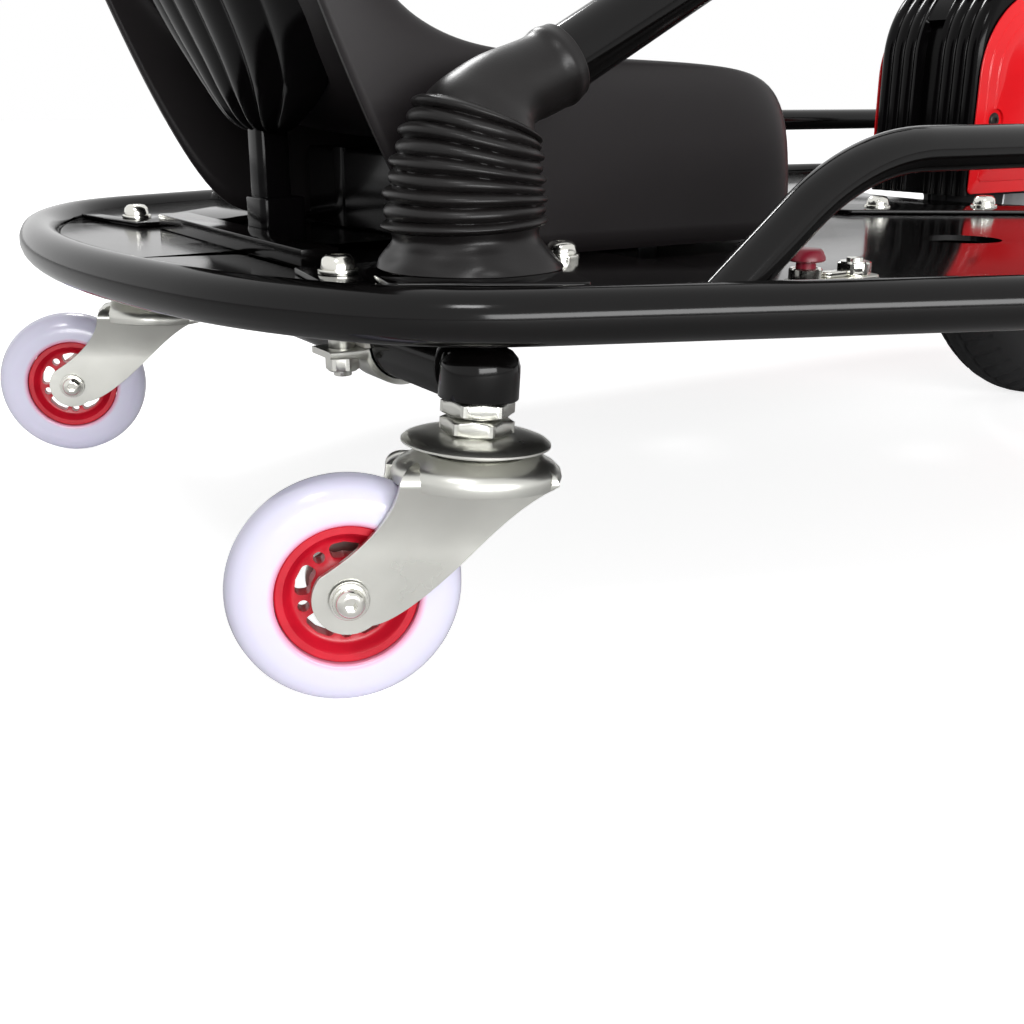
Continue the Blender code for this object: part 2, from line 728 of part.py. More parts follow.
def build_seat():
    """The moulded bucket seat: one thin shell, open behind and below, on a short post."""
    rows = seat_rows()
    sides = (1, -1)
    bm = bmesh.new()
    grid = {}
    for row, section in enumerate(rows):
        for column, (along, across, height) in enumerate(section):
            for side in sides:
                if across or side == 1:
                    grid[row, column, side] = bm.verts.new((along, side * across, height))
                else:
                    grid[row, column, side] = grid[row, column, 1]
    last = len(rows) - 1
    for row in range(last):
        for column in range(4):
            for side in sides:
                ring = [(row, column), (row + 1, column), (row + 1, column + 1), (row, column + 1)]
                bm.faces.new([grid[(*key, side)] for key in ring[::side]])
    fill_bucket(bm, grid, rows)
    seat = place_mesh("seat", finish_mesh(bm, "seat"), SATIN_BLACK)
    round_off = seat.modifiers.new("moulded", "SUBSURF")
    round_off.levels = 1
    round_off.render_levels = 1
    wall = seat.modifiers.new("wall", "SOLIDIFY")
    wall.thickness = SEAT_WALL * MM
    wall.offset = -1.0
    seat.data.shade_smooth()
    cut(seat, box("seat_floor_trim", (-160, -200, 150), (300, 200, SEAT_BOTTOM)))
    post = box("seat_post", (-4, -9, SIDE_PLATE_TOP), (14, 9, SEAT_POST_TOP), SATIN_BLACK, bevel=2.0)
    join(post, box("post_foot", (-5.6, -13, DECK_TOP + GAP), (20, 13, 190.0), bevel=2.0))


def fill_bucket(bm, grid, rows):
    """Close the bucket between its two sides: a little deeper in the middle, with upright ribs."""
    first, last = 1, len(rows) - 2
    half = 4
    inner = {}
    for row in range(first, last + 1):
        along, across, height = rows[row][4]
        back = min(1.0, max(0.0, (70.0 - along) / 90.0))
        for column in range(-half, half + 1):
            share = column / half
            if abs(column) == half:
                inner[row, column] = grid[row, 4, 1 if column > 0 else -1]
            elif row not in (first, last):
                sag = SEAT_SAG * (1.0 - share * share) - (SEAT_RIB if column % 2 else 0.0)
                place = (along - sag * back, across * share, height - sag * (1.0 - back))
                inner[row, column] = bm.verts.new(place)
            elif not column:
                inner[row, column] = grid[0 if row == first else last + 1, 4, 1]
    for row in range(first, last):
        ends = row == first or row + 1 == last
        for left in range(half, -half, -half if ends else -1):
            right = left - (half if ends else 1)
            span = range(left, right - 1, -1)
            near = [inner[row, column] for column in span if (row, column) in inner]
            far = [inner[row + 1, column] for column in span if (row + 1, column) in inner]
            bm.faces.new(far + near[::-1])


def build_seat_fittings():
    """What carries and fills the seat: the folded bracket behind it, the battery and the controller."""
    bracket = box("seat_bracket", (-25, -110, DECK_TOP + GAP), (-6, 110, DECK_TOP + 9.0), GLOSS_BLACK)
    cut(bracket, box("bracket_fold", (-27, -100, DECK_TOP - 2), (-9, 100, DECK_TOP + 6.6)))
    box("battery_pack", (72, -112, DECK_TOP + GAP), (172, 112, 212.0), BLACK_PLASTIC, bevel=3.0)
    controller = box("motor_controller", (184, -60, DECK_TOP + GAP), (224, 60, 196.0), ALUMINIUM, bevel=1.5)
    for index in range(5):
        along = 188.0 + index * 7.0
        cut(controller, box("fin_gap", (along, -61, 188.0), (along + 3.5, 61, 200.0)))


def bar_path():
    """The lever's centre line: up out of the axle, a bend, and the long run forward."""
    root = math.tan(math.radians(BAR_ROOT_ANGLE))
    slope = math.tan(math.radians(BAR_ANGLE))
    corner_x = (BAR_LINE_Z - AXLE_Z) / (root - slope)
    corner = (corner_x, -BAR_Y, AXLE_Z + root * corner_x)
    end = (BAR_END_X, -BAR_Y, BAR_LINE_Z + slope * BAR_END_X)
    return bent_path(((0.0, -BAR_Y, AXLE_Z), corner, end), (BAR_BEND,), 7.0)


def bar_point(along):
    """A point on the lever's long straight run."""
    return (along, -BAR_Y, BAR_LINE_Z + math.tan(math.radians(BAR_ANGLE)) * along)


def build_axle():
    """The cross axle that the lever tips, with a caster stem at each end."""
    reach = STEM_Y - STEM_RADIUS / 2
    axle = rod("drift_axle", AXLE_RADIUS, (0, -reach, AXLE_Z), (0, reach, AXLE_Z), GLOSS_BLACK, sides=24)
    lean = math.radians(CASTER_LEAN)
    for side in (1, -1):
        foot = stem_point(STEM_BOTTOM, side)
        profile = (
            (0.0, STEM_TOP - STEM_BOTTOM),
            (STEM_RADIUS * 0.55, STEM_TOP - STEM_BOTTOM - 1.2),
            (STEM_RADIUS * 0.88, STEM_TOP - STEM_BOTTOM - 4.0),
            (STEM_RADIUS, STEM_TOP - STEM_BOTTOM - 8.0),
            (STEM_RADIUS, 0.0),
            (0.0, 0.0),
        )
        tilt = (math.sin(lean), 0.0, math.cos(lean))
        nut_room = (stem_point(STEM_BOTTOM - 30.0, side), stem_point(STEM_BOTTOM + 1.0, side))
        cut(axle, rod("nut_room", STEM_RADIUS - 0.4, *nut_room, sides=20))
        join(axle, turned("stem_socket", profile, place=foot, axis=tilt, sides=20))
    lug = box("axle_lug", (-30, -9, AXLE_Z + 6), (-6, 9, LUG_TOP))
    join(axle, lug)
    bar = tube("drift_bar", bar_path(), BAR_RADIUS, GLOSS_BLACK, resolution=5)
    ends = ((0, -BAR_Y - 40, AXLE_Z), (0, -BAR_Y + 40, AXLE_Z))
    cut(bar, rod("bar_cope", AXLE_RADIUS + GAP, *ends, sides=24))
    build_grip()


def build_grip():
    """The rubber grip on the lever's end, with its rings."""
    end = Vector(bar_point(BAR_END_X + 3.0))
    slope = math.radians(BAR_ANGLE)
    axis = Vector((math.cos(slope), 0.0, math.sin(slope)))
    outer = BAR_RADIUS + GRIP_WALL
    groove = outer - 1.1
    flange = outer + 2.6
    bore = BAR_RADIUS + GAP
    rings = []
    pitch = (GRIP_LENGTH - 16.0) / GRIP_RINGS
    for index in range(GRIP_RINGS):
        top = -8.0 - index * pitch
        rings += [(outer, top), (outer, top - pitch * 0.62)]
        rings += [(groove, top - pitch * 0.7), (groove, top - pitch * 0.95)]
    profile = [(0.0, 0.0), (outer - 2.5, 0.0), *rings, (flange, -GRIP_LENGTH + 7.0), (flange, -GRIP_LENGTH)]
    profile += [(bore, -GRIP_LENGTH), (bore, -3.4), (0.0, -3.4)]
    turned("bar_grip", profile, BLACK_RUBBER, place=end, axis=axis, sides=14)


def stem_point(height, side):
    """A point on a caster's stem line, which leans forward at its top."""
    return Vector(((height - AXLE_Z) * math.tan(math.radians(CASTER_LEAN)), side * STEM_Y, height))


def build_straps():
    """What holds the axle under the deck on each side: a plastic saddle over it, a steel strap under it."""
    split = AXLE_Z - STRAP_SPLIT
    bore = AXLE_RADIUS + GAP
    saddle_half = bore + 2.4
    for side, word in ((1, "left"), (-1, "right")):
        middle = side * STRAP_Y
        low, high = middle - STRAP_WIDTH / 2, middle + STRAP_WIDTH / 2
        ends = ((0, low - 5, AXLE_Z), (0, high + 5, AXLE_Z))
        corners = ((-saddle_half, low, split + GAP), (saddle_half, high, DECK_BOTTOM - GAP))
        saddle = box(f"axle_saddle_{word}", *corners, NYLON)
        cut(saddle, rod("saddle_bore", bore, *ends, sides=24))
        outer = ((0, low, AXLE_Z), (0, high, AXLE_Z))
        strap = rod(f"axle_strap_{word}", bore + STRAP_WALL, *outer, ZINC, sides=24)
        cut(strap, box("strap_half", (-40, low - 5, split), (40, high + 5, AXLE_Z + 40)))
        flange = ((-STRAP_BOLT_X - 10, low, split - STRAP_WALL), (STRAP_BOLT_X + 6.5, high, split))
        join(strap, box("strap_flange", *flange))
        cut(strap, rod("strap_bore", bore, *ends, sides=24))
        for along, top in ((-STRAP_BOLT_X, SIDE_PLATE_TOP + 1.0), (STRAP_BOLT_X, DECK_BOTTOM - GAP)):
            foot, head = Vector((along, middle, split - 12.5)), Vector((along, middle, top))
            sleeve = ((along, middle, split - 1.0), (along, middle, DECK_BOTTOM - GAP))
            nut = ((along, middle, split - 10.0), (along, middle, split - STRAP_WALL + 0.2))
            join(strap, rod("strap_bolt", CASTER_AXLE_RADIUS, foot, head, sides=10))
            join(strap, rod("strap_sleeve", 5.6, *sleeve, sides=10), rod("strap_nut", 7.2, *nut, sides=6))
        join(strap, bolt_head("strap_head", (-STRAP_BOLT_X, middle, SIDE_PLATE_TOP + GAP)))
    box("axle_stop", (-30, -9, LUG_TOP + GAP), (-8, 9, DECK_BOTTOM - GAP), BLACK_RUBBER)


def build_boot():
    """The clamp plate and the rubber bellows round the lever."""
    corners = ((-30, -211), (40, -252), (54, -214), (50, -148), (-6, -148), (-20, -168))
    outline = rounded_outline(corners[::-1], 5.0, 3)
    clamp = plate("boot_clamp_plate", outline, SIDE_PLATE_TOP + GAP, CLAMP_TOP, GLOSS_BLACK)
    cut(clamp, bar_slot(SIDE_PLATE_TOP - 3, 180))
    head = ((-STRAP_BOLT_X, -STRAP_Y, 160), (-STRAP_BOLT_X, -STRAP_Y, 190))
    cut(clamp, rod("head_room", DECK_BOLT_RADIUS + 1.0, *head, sides=20))
    build_bellows()


def bellows_sections():
    """Centre points and radii up the boot: skirt, rings of two sizes, neck, and the cuff on the lever."""
    base, bar = CLAMP_TOP + GAP, BAR_RADIUS
    sections = [((24.0, base), bar + 24.7), ((24.0, base + 3.0), bar + 21.7)]
    sections += [((22.4, 180.0), bar + 18.2), ((21.5, 185.0), bar + 16.7)]
    rings = 11
    bottom, top = 187.0, 231.0
    for index in range(rings):
        share = index / (rings - 1)
        height = bottom + (top - bottom) * share
        centre = 21.5 + 8.0 * share * share
        outer = bar + 20.0 - 6.6 * share - (0.0 if index % 2 == 0 else 0.9)
        sections.append(((centre, height), outer))
        if index < rings - 1:
            sections.append(((centre + 0.2, height + 2.2), outer - 3.0))
    sections += [((33.2, 234.0), bar + 9.7), ((38.0, 238.2), bar + 6.9)]
    sections += [((44.5, 242.6), bar + 4.5), ((52.5, 246.9), bar + 3.1)]
    sections += [(bar_point(62.0)[::2], bar + 2.4), (bar_point(79.0)[::2], bar + 2.4)]
    return sections


def build_bellows():
    """The boot's ribbed tube with its bore."""
    sections = bellows_sections()
    points = [(along, -BAR_Y, height) for (along, height), _ in sections]
    radii = [radius for _, radius in sections]
    boot = tube("bar_boot", points, 10.0, BLACK_RUBBER, resolution=4, radii=radii)
    bar = BAR_RADIUS
    bore = [((24.0, 165.0), bar + 19.2), ((23.0, 176.0), bar + 15.2), ((22.0, 186.0), bar + 13.2)]
    bore += [((25.0, 210.0), bar + 10.7), ((31.5, 226.0), bar + 7.2), ((38.0, 234.5), bar + 4.1)]
    bore += [((45.5, 240.9), bar + 1.9), ((53.0, 245.6), bar + 0.7)]
    bore += [(bar_point(62.0)[::2], bar + 0.6), (bar_point(90.0)[::2], bar + 0.6)]
    inner = [(along, -BAR_Y, height) for (along, height), _ in bore]
    cut(boot, tube("boot_bore", inner, 10.0, resolution=4, radii=[radius for _, radius in bore]))


def caster_drop():
    """How far down its stem line a caster's wheel centre lies, so that the wheel meets the floor."""
    lean, swing = math.radians(CASTER_LEAN), math.radians(CASTER_SWING)
    behind = CASTER_TRAIL * math.cos(swing)
    return (AXLE_Z + behind * math.sin(lean) - CASTER_WHEEL_RADIUS) / math.cos(lean)


def caster_frame(word, side):
    """An empty on a caster's swivel axis; its -X points to the wheel, and its Z runs up the stem."""
    lean, swing = math.radians(CASTER_LEAN), math.radians(CASTER_SWING)
    holder = empty_at(f"caster_swivel_{word}", (0.0, side * STEM_Y, AXLE_Z), KART)
    holder.rotation_mode = "QUATERNION"
    tilt = Matrix.Rotation(lean, 3, "Y")
    turn = Matrix.Rotation(-swing, 3, "Z")
    holder.rotation_quaternion = (tilt @ turn).to_quaternion()
    return holder


def build_casters():
    """Both casters: the parts on the stem, the swivel fork, and the wheel."""
    for side, word in ((1, "left"), (-1, "right")):
        holder = caster_frame(word, side)
        drop = caster_drop()
        build_raceway(word, holder)
        build_caster_fork(word, holder, drop)
        build_caster_wheel(word, holder, drop)


def build_raceway(word, holder):
    """The double nut and the upper race plate that stay on the stem."""
    top = STEM_BOTTOM - AXLE_Z - GAP
    nut_foot = top - 14.6
    race = rod(f"caster_race_{word}", 30.5, (0, 0, nut_foot - 3.2), (0, 0, nut_foot), ZINC, holder, 20)
    join(race, rod("race_hub", 22.0, (0, 0, nut_foot - 6.4), (0, 0, nut_foot - 3.0), parent=holder, sides=20))
    for low, high in ((nut_foot - 0.1, nut_foot + 6.8), (nut_foot + 7.6, top)):
        join(race, rod("stem_nut", 15.4, (0, 0, low), (0, 0, high), parent=holder, sides=6))
    join(race, rod("nut_neck", 12.0, (0, 0, nut_foot), (0, 0, top - 1.0), parent=holder))


def fork_outline(drop, crown):
    """The side view of a fork leg in its own X and Z: wide at the crown, round at the axle."""
    boss = (-CASTER_TRAIL, -drop)
    front = (37.0, crown)
    rear = (-34.0, crown)
    forward = tangent_turn(boss, front, FORK_BOSS_RADIUS, 1)
    back = tangent_turn(boss, rear, FORK_BOSS_RADIUS, -1)
    sweep = (back - forward) % 360.0
    return [rear, *circle(boss, FORK_BOSS_RADIUS, 10, back, 360.0 - sweep), front]


def tangent_turn(centre, point, radius, side):
    """The angle, in degrees, at which a line from a point touches a circle."""
    reach = Vector(point) - Vector(centre)
    return math.degrees(math.atan2(reach.y, reach.x) - side * math.acos(radius / reach.length))


def build_caster_fork(word, holder, drop):
    """A pressed fork: a round-topped crown, two legs and the lower race."""
    crown = STEM_BOTTOM - AXLE_Z - GAP - 14.6 - 6.4 - GAP
    base = crown - 11.0
    half = FORK_GAP / 2 + FORK_WALL
    fork = rod(f"caster_fork_{word}", 25.0, (0, 0, crown - 4.0), (0, 0, crown), ZINC, holder, 20)
    shoulder = ((0, 0, base), (0, 0, crown - 3.9))
    join(fork, rod("crown_shoulder", 33.0, *shoulder, parent=holder, sides=20, tip_radius=26.0))
    for side in (1, -1):
        leg = plate("fork_leg", fork_outline(drop, base + 0.6), 0.0, FORK_WALL, parent=holder)
        upright(leg, (0.0, side * (FORK_GAP + FORK_WALL) / 2 + FORK_WALL / 2, 0.0))
        join(fork, leg)
    join(fork, box("crown_bridge", (-30, -half, base - 2.5), (33, half, base + 0.7), parent=holder))
    ends = ((-CASTER_TRAIL, -40, -drop), (-CASTER_TRAIL, 40, -drop))
    cut(fork, rod("axle_hole", CASTER_AXLE_RADIUS + GAP, *ends, parent=holder, sides=16))
    return fork


def build_caster_wheel(word, holder, drop):
    """The axle bolt with its nut, the red core with its slots, and the clear tyre."""
    centre = Vector((-CASTER_TRAIL, 0.0, -drop))
    across = Vector((0.0, 1.0, 0.0))
    face = FORK_GAP / 2 + FORK_WALL + GAP
    profile = (
        (0.0, face + 6.0),
        (5.6, face + 6.0),
        (7.0, face + 4.6),
        (7.0, face),
        (CASTER_AXLE_RADIUS, face),
        (CASTER_AXLE_RADIUS, -face),
        (6.8, -face),
        (6.8, -face - 5.5),
        (0.0, -face - 5.5),
    )
    bolt = turned(f"caster_bolt_{word}", profile, ZINC, holder, centre, -across, 12)
    socket = (centre - across * (face + 3.0), centre - across * (face + 9.0))
    cut(bolt, rod("bolt_socket", 3.6, *socket, parent=holder, sides=6))
    spin = empty_at(f"caster_spin_{word}", centre, holder)
    build_caster_core(word, spin)
    half = CASTER_WHEEL_WIDTH / 2
    bore = CASTER_CORE_RADIUS + GAP
    crown = 14.0
    arc = circle((CASTER_WHEEL_RADIUS - crown, 0.0), crown, 4, 56.0, -112.0)
    profile = [(bore, half), (bore + 4.0, half), *arc, (bore + 4.0, -half), (bore, -half)]
    turned(f"caster_tyre_{word}", profile, CLEAR_TYRE, spin, axis=(0, 1, 0), sides=24, ring=True)


def build_caster_core(word, spin):
    """The moulded core: rim, hub, and a disc with five slots and five round holes."""
    half = CASTER_WHEEL_WIDTH / 2 - 1.5
    bore = CASTER_AXLE_RADIUS + GAP
    rim = CASTER_CORE_RADIUS
    profile = (
        (bore, half),
        (11.5, half),
        (11.5, 4.0),
        (rim - 5.0, 4.0),
        (rim - 3.0, half - 1.0),
        (rim, half - 1.0),
        (rim, -half + 1.0),
        (rim - 3.0, -half + 1.0),
        (rim - 5.0, -4.0),
        (11.5, -4.0),
        (11.5, -half),
        (bore, -half),
    )
    core = turned(f"caster_core_{word}", profile, RED_CORE, spin, axis=(0, 1, 0), sides=20, ring=True)
    for index in range(5):
        slot = math.radians(72.0 * index)
        corners = ((-7.4, -2.9), (7.4, -2.9), (7.4, 2.9), (-7.4, 2.9))
        window = plate("core_slot", rounded_outline(corners, 2.8, 1), -8.0, 8.0, parent=spin)
        window.location = Vector((math.cos(slot), 0.0, math.sin(slot))) * 17.6 * MM
        window.rotation_euler = (math.radians(90.0), math.radians(90.0) - slot, 0.0)
        turn = slot + math.radians(36.0)
        place = Vector((math.cos(turn), 0.0, math.sin(turn))) * 18.4
        across = Vector((0.0, 8.0, 0.0))
        cut(core, window, rod("core_hole", 2.6, place - across, place + across, parent=spin, sides=6))
    return core


def build_drive():
    """The drive unit that the column turns: fork, cover, side panels and the motor wheel."""
    steer = empty_at("drive_steer", (DRIVE_X, 0.0, 0.0), KART)
    axle_z = DRIVE_WHEEL_RADIUS
    crown_top = COVER_TOP - COVER_WALL - 2 * GAP
    crown = crown_top - 6.0
    outer = DRIVE_FORK_GAP / 2 + DRIVE_FORK_WALL
    fork = box("drive_fork", (-24, -outer, crown), (24, outer, crown_top), GLOSS_BLACK, steer)
    for side in (1, -1):
        inner, out = sorted((side * DRIVE_FORK_GAP / 2, side * outer))
        join(fork, box("drive_leg", (-20, inner, axle_z), (20, out, crown + 1.0), parent=steer))
        join(fork, rod("drive_dropout", 20.0, (0, inner, axle_z), (0, out, axle_z), parent=steer))
    steerer = ((0, 0, crown + 1.0), (0, 0, JOINT_Z - YOKE_REACH - 1.0))
    join(fork, rod("steerer", STEERER_RADIUS, *steerer, parent=steer))
    joint = Vector((0.0, 0.0, JOINT_Z))
    across = Vector((0.0, 1.0, 0.0))
    add_yoke(fork, steer, joint, Vector((0.0, 0.0, -1.0)), across)
    pin_line = (joint - across * 20, joint + across * 20)
    cut(fork, rod("pin_bore", JOINT_PIN_RADIUS + GAP, *pin_line, parent=steer, sides=12))
    cut(fork, rod("shaft_hole", MOTOR_SHAFT_RADIUS + GAP, (0, -60, axle_z), (0, 60, axle_z), parent=steer))
    nut = outer + GAP
    profile = (
        (0.0, 45.6),
        (MOTOR_SHAFT_RADIUS, 45.6),
        (MOTOR_SHAFT_RADIUS, nut + 5.6),
        (10.0, nut + 5.6),
        (10.0, nut),
        (MOTOR_SHAFT_RADIUS, nut),
        (MOTOR_SHAFT_RADIUS, -nut),
        (10.0, -nut),
        (10.0, -nut - 5.6),
        (MOTOR_SHAFT_RADIUS, -nut - 5.6),
        (MOTOR_SHAFT_RADIUS, -45.6),
        (0.0, -45.6),
    )
    turned("motor_shaft", profile, STEEL, steer, (0, 0, axle_z), (0, 1, 0), 12)
    build_drive_wheel(steer, axle_z)
    build_cover(steer)
    build_cross(steer, joint)


def build_cross(parent, centre):
    """The block in the middle of the steering joint, round, with the lower yoke's two pins."""
    profile = [
        (JOINT_PIN_RADIUS, 15.0),
        *circle((0.0, 0.0), JOINT_BLOCK_RADIUS, 4, 68.0, -136.0),
        (JOINT_PIN_RADIUS, -15.0),
    ]
    turned("joint_cross", [(0.0, 15.0), *profile, (0.0, -15.0)], STEEL, parent, centre, (0, 1, 0), 10)


def add_yoke(target, parent, centre, back, pin):
    """Weld a joint yoke to a shaft: a base, and two arms that end in small round ears."""
    side = pin.normalized()
    base = centre + back * YOKE_REACH
    join(target, rod("yoke_base", YOKE_EAR_OFFSET + 2.5, base, base + back * 3.0, parent=parent, sides=14))
    for sign in (1, -1):
        ear = centre + side * sign * YOKE_EAR_OFFSET
        join(target, rod("yoke_ear", 5.4, ear - side * 2.0, ear + side * 2.0, parent=parent, sides=12))
        foot = base + side * sign * YOKE_EAR_OFFSET + back
        join(target, bar_between("yoke_arm", ear, foot, side, 3.8, 9.0, parent))


def bar_between(name, start, end, side, thickness, width, parent):
    """A flat bar between two points, thin along side."""
    along = (end - start).normalized()
    other = along.cross(side).normalized()
    bm = bmesh.new()
    bmesh.ops.create_cube(bm, size=1.0)
    bmesh.ops.scale(bm, vec=(width, thickness, (end - start).length), verts=bm.verts)
    item = place_mesh(name, finish_mesh(bm, name), None, parent)
    turn = Matrix((other, side, other.cross(side))).transposed()
    item.location = (start + end) * MM / 2
    item.rotation_mode = "QUATERNION"
    item.rotation_quaternion = turn.to_quaternion()
    return item


def build_drive_wheel(steer, axle_z):
    """The motor in its rim, and the air tyre on it."""
    half = DRIVE_TYRE_WIDTH / 2
    bore = MOTOR_SHAFT_RADIUS + GAP
    profile = (
        (bore, 31.0),
        (18.0, 31.0),
        (64.0, 24.0),
        (86.0, 16.0),
        (RIM_RADIUS + 6.0, 21.0),
        (RIM_RADIUS, 16.5),
        (RIM_RADIUS, -16.5),
        (RIM_RADIUS + 6.0, -21.0),
        (86.0, -16.0),
        (64.0, -24.0),
        (18.0, -31.0),
        (bore, -31.0),
    )
    turned("hub_motor", profile, ALUMINIUM, steer, (0, 0, axle_z), (0, 1, 0), 24, ring=True)
    seat = RIM_RADIUS + GAP
    crown = DRIVE_WHEEL_RADIUS
    outer = (
        (seat, 15.6),
        (seat + 6.0, 20.6),
        (seat + 17.0, half - 1.6),
        (seat + 28.0, half),
        (crown - 16.0, half - 3.0),
        (crown - 4.6, 14.5),
        (crown, 0.0),
    )
    lower = [(radius, -across) for radius, across in reversed(outer[:-1])]
    turned("drive_tyre", [*outer, *lower], TYRE_RUBBER, steer, (0, 0, axle_z), (0, 1, 0), 24, ring=True)


def cover_ring(turn, height, inside=False):
    """One level of the cover: a rounded rectangle, pulled in by the top bend, ribbed at both ends.

    turn is how far round the top bend the level lies, in radians. The inside is plain, and clears
    the recess by a wall.
    """
    depth = COVER_RECESS_DEPTH + COVER_WALL if inside else 0.0
    wall = COVER_WALL if inside else 0.0
    length = COVER_HALF_LENGTH - depth - (COVER_TOP_BEND - depth) * (1 - math.cos(turn))
    width = COVER_HALF_WIDTH - wall - COVER_TAPER * (1 - math.cos(turn))
    flat = width - COVER_CORNER
    end = [(length, -flat), (length, flat)] if inside else ribbed_end(length, flat, height)
    front = circle((length - COVER_CORNER, flat), COVER_CORNER, 3, 0.0, 90.0)
    rear = circle((COVER_CORNER - length, flat), COVER_CORNER, 3, 90.0, 90.0)
    half = [*end, *front[1:], *rear[:-1]]
    return half + [(-along, -across) for along, across in half]


def ribbed_end(length, flat, height):
    """Half round the cover's end, from its right corner to its left: three ribs, the recess, three ribs."""
    edge = COVER_RECESS_HALF_WIDTH
    pitch = (flat - edge) / 3
    recess = COVER_RECESS_DEPTH if COVER_RECESS[0] < height < COVER_RECESS[1] else COVER_RIB
    side = [(length - rib, edge + pitch * (index + part)) for index in range(3) for part, rib in RIB_SECTION]
    side = [(length - recess, edge - 1.2), *side, (length, flat)]
    return [(along, -across) for along, across in reversed(side)] + side


def cover_shell(name, levels, inside, parent):
    """A closed solid through the cover's levels, from its foot to its top."""
    bm = bmesh.new()
    rings = []
    for turn, height in levels:
        rings.append([bm.verts.new((*point, height)) for point in cover_ring(turn, height, inside)])
    for lower, upper in zip(rings, rings[1:]):
        for index in range(len(lower)):
            after = (index + 1) % len(lower)
            bm.faces.new((lower[index], lower[after], upper[after], upper[index]))
    bm.faces.new(rings[-1])
    bm.faces.new(rings[0][::-1])
    bmesh.ops.recalc_face_normals(bm, faces=bm.faces)
    return place_mesh(name, finish_mesh(bm, name), BLACK_PLASTIC, parent)


def build_cover(steer):
    """The wheel's cover: a ribbed shell, open below, with a red panel on each side."""
    low, high = COVER_RECESS
    bend = COVER_TOP - COVER_TOP_BEND
    outer = [(0.0, COVER_BOTTOM), (0.0, low - 2.0), (0.0, low + 2.0), (0.0, bend)]
    inner = [(0.0, COVER_BOTTOM - 10.0)]
    for part in (0.28, 0.52, 0.76, 1.0):
        turn = part * math.pi / 2
        outer.append((turn, bend + COVER_TOP_BEND * math.sin(turn)))
        depth = COVER_RECESS_DEPTH + COVER_WALL
        inner_bend = COVER_TOP - COVER_WALL - COVER_TOP_BEND + depth
        if not inner[1:]:
            inner.append((0.0, inner_bend))
        inner.append((turn, inner_bend + (COVER_TOP_BEND - depth) * math.sin(turn)))
    cover = cover_shell("wheel_cover", outer, False, steer)
    cut(cover, cover_shell("cover_room", inner, True, steer))
    top = ((0, 0, COVER_TOP - 20), (0, 0, COVER_TOP + 20))
    cut(cover, rod("steerer_hole", STEERER_RADIUS + 1.5, *top, parent=steer))
    smooth(cover, 30.0)
    for side, word in ((1, "left"), (-1, "right")):
        build_panel(steer, side, word)


def panel_outline(inset):
    """A side panel's outline, moved inwards: square below, and round above as the cover is."""
    length = COVER_HALF_LENGTH - 3.0 - inset
    low = COVER_BOTTOM + 1.5 + inset
    bend = COVER_TOP_BEND - 5.0 - inset
    high = COVER_TOP - 18.0 - inset
    outline = [(-length, low), (length, low), *circle((length - bend, high - bend), bend, 5, 0.0, 90.0)]
    return outline + circle((-length + bend, high - bend), bend, 5, 90.0, 90.0)


def build_panel(steer, side, word):
    """A red side panel that rises in steps from its edge, with a screw recess near each end."""
    near = COVER_HALF_WIDTH + GAP
    panel = None
    for step in range(PANEL_STEP_COUNT):
        name = f"cover_panel_{word}" if step == 0 else "panel_step"
        low = 0.5 if step else 0.0
        high = PANEL_THICKNESS * (0.5 + 0.5 * step / (PANEL_STEP_COUNT - 1))
        layer = plate(name, panel_outline(step * PANEL_STEP), low, high, None if step else RED_PANEL, steer)
        upright(layer, (0.0, near + low + high if side == 1 else -near, 0.0))
        panel = join(panel, layer) if panel else layer
    for along in (-PANEL_SCREW_X, PANEL_SCREW_X):
        face = near + PANEL_THICKNESS
        ends = ((along, side * (face - 1.8), PANEL_SCREW_Z), (along, side * (face + 2.0), PANEL_SCREW_Z))
        cut(panel, rod("screw_recess", 8.0, *ends, parent=steer, sides=16))
    return panel


def build_steering():
    """What carries the steering: the neck tubes with the head, the column's bracket, column and wheel."""
    foot_x = NOSE_X + TUBE_RADIUS - NECK_RADIUS
    neck = None
    for side in (1, -1):
        corners = (
            (foot_x, side * NECK_Y, DECK_TOP + GAP),
            (foot_x, side * NECK_Y, NECK_Z),
            (DRIVE_X - 62.0, side * NECK_Y, NECK_Z),
        )
        path = bent_path(corners, (NECK_BEND,), 20.0)
        arm = tube("steering_neck", path, NECK_RADIUS, GLOSS_BLACK, resolution=2)
        neck = join(neck, arm) if neck else arm
    web = box("neck_web", (DRIVE_X - 50, -NECK_Y, NECK_Z - 3), (DRIVE_X + 50, NECK_Y, NECK_Z + 3))
    join(neck, web, rod("head", HEAD_RADIUS, (DRIVE_X, 0, NECK_Z - 16), (DRIVE_X, 0, NECK_Z + 18), sides=32))
    bore = ((DRIVE_X, 0, NECK_Z - 30), (DRIVE_X, 0, NECK_Z + 30))
    cut(neck, rod("head_bore", STEERER_RADIUS + GAP + 2.5, *bore), loop_clearance())
    for word, low, high, flange in (("lower", -16.0, -4.0, -1), ("upper", 6.0, 18.0, 1)):
        build_head_bush(word, NECK_Z + low, NECK_Z + high, flange)
    build_column()


def build_head_bush(word, low, high, flange):
    """A flanged bush in one end of the head; flange is 1 on top and -1 below."""
    bore = STEERER_RADIUS + GAP
    body = bore + 2.5 - GAP
    rim = HEAD_RADIUS - 3.0
    if flange > 0:
        top = high + BUSH_FLANGE
        profile = ((bore, top), (rim, top), (rim, high + GAP), (body, high + GAP), (body, low), (bore, low))
    else:
        foot = low - BUSH_FLANGE
        profile = ((bore, high), (body, high), (body, low - GAP), (rim, low - GAP), (rim, foot), (bore, foot))
    turned(f"head_bush_{word}", profile, NYLON, place=(DRIVE_X, 0, 0), sides=16, ring=True)


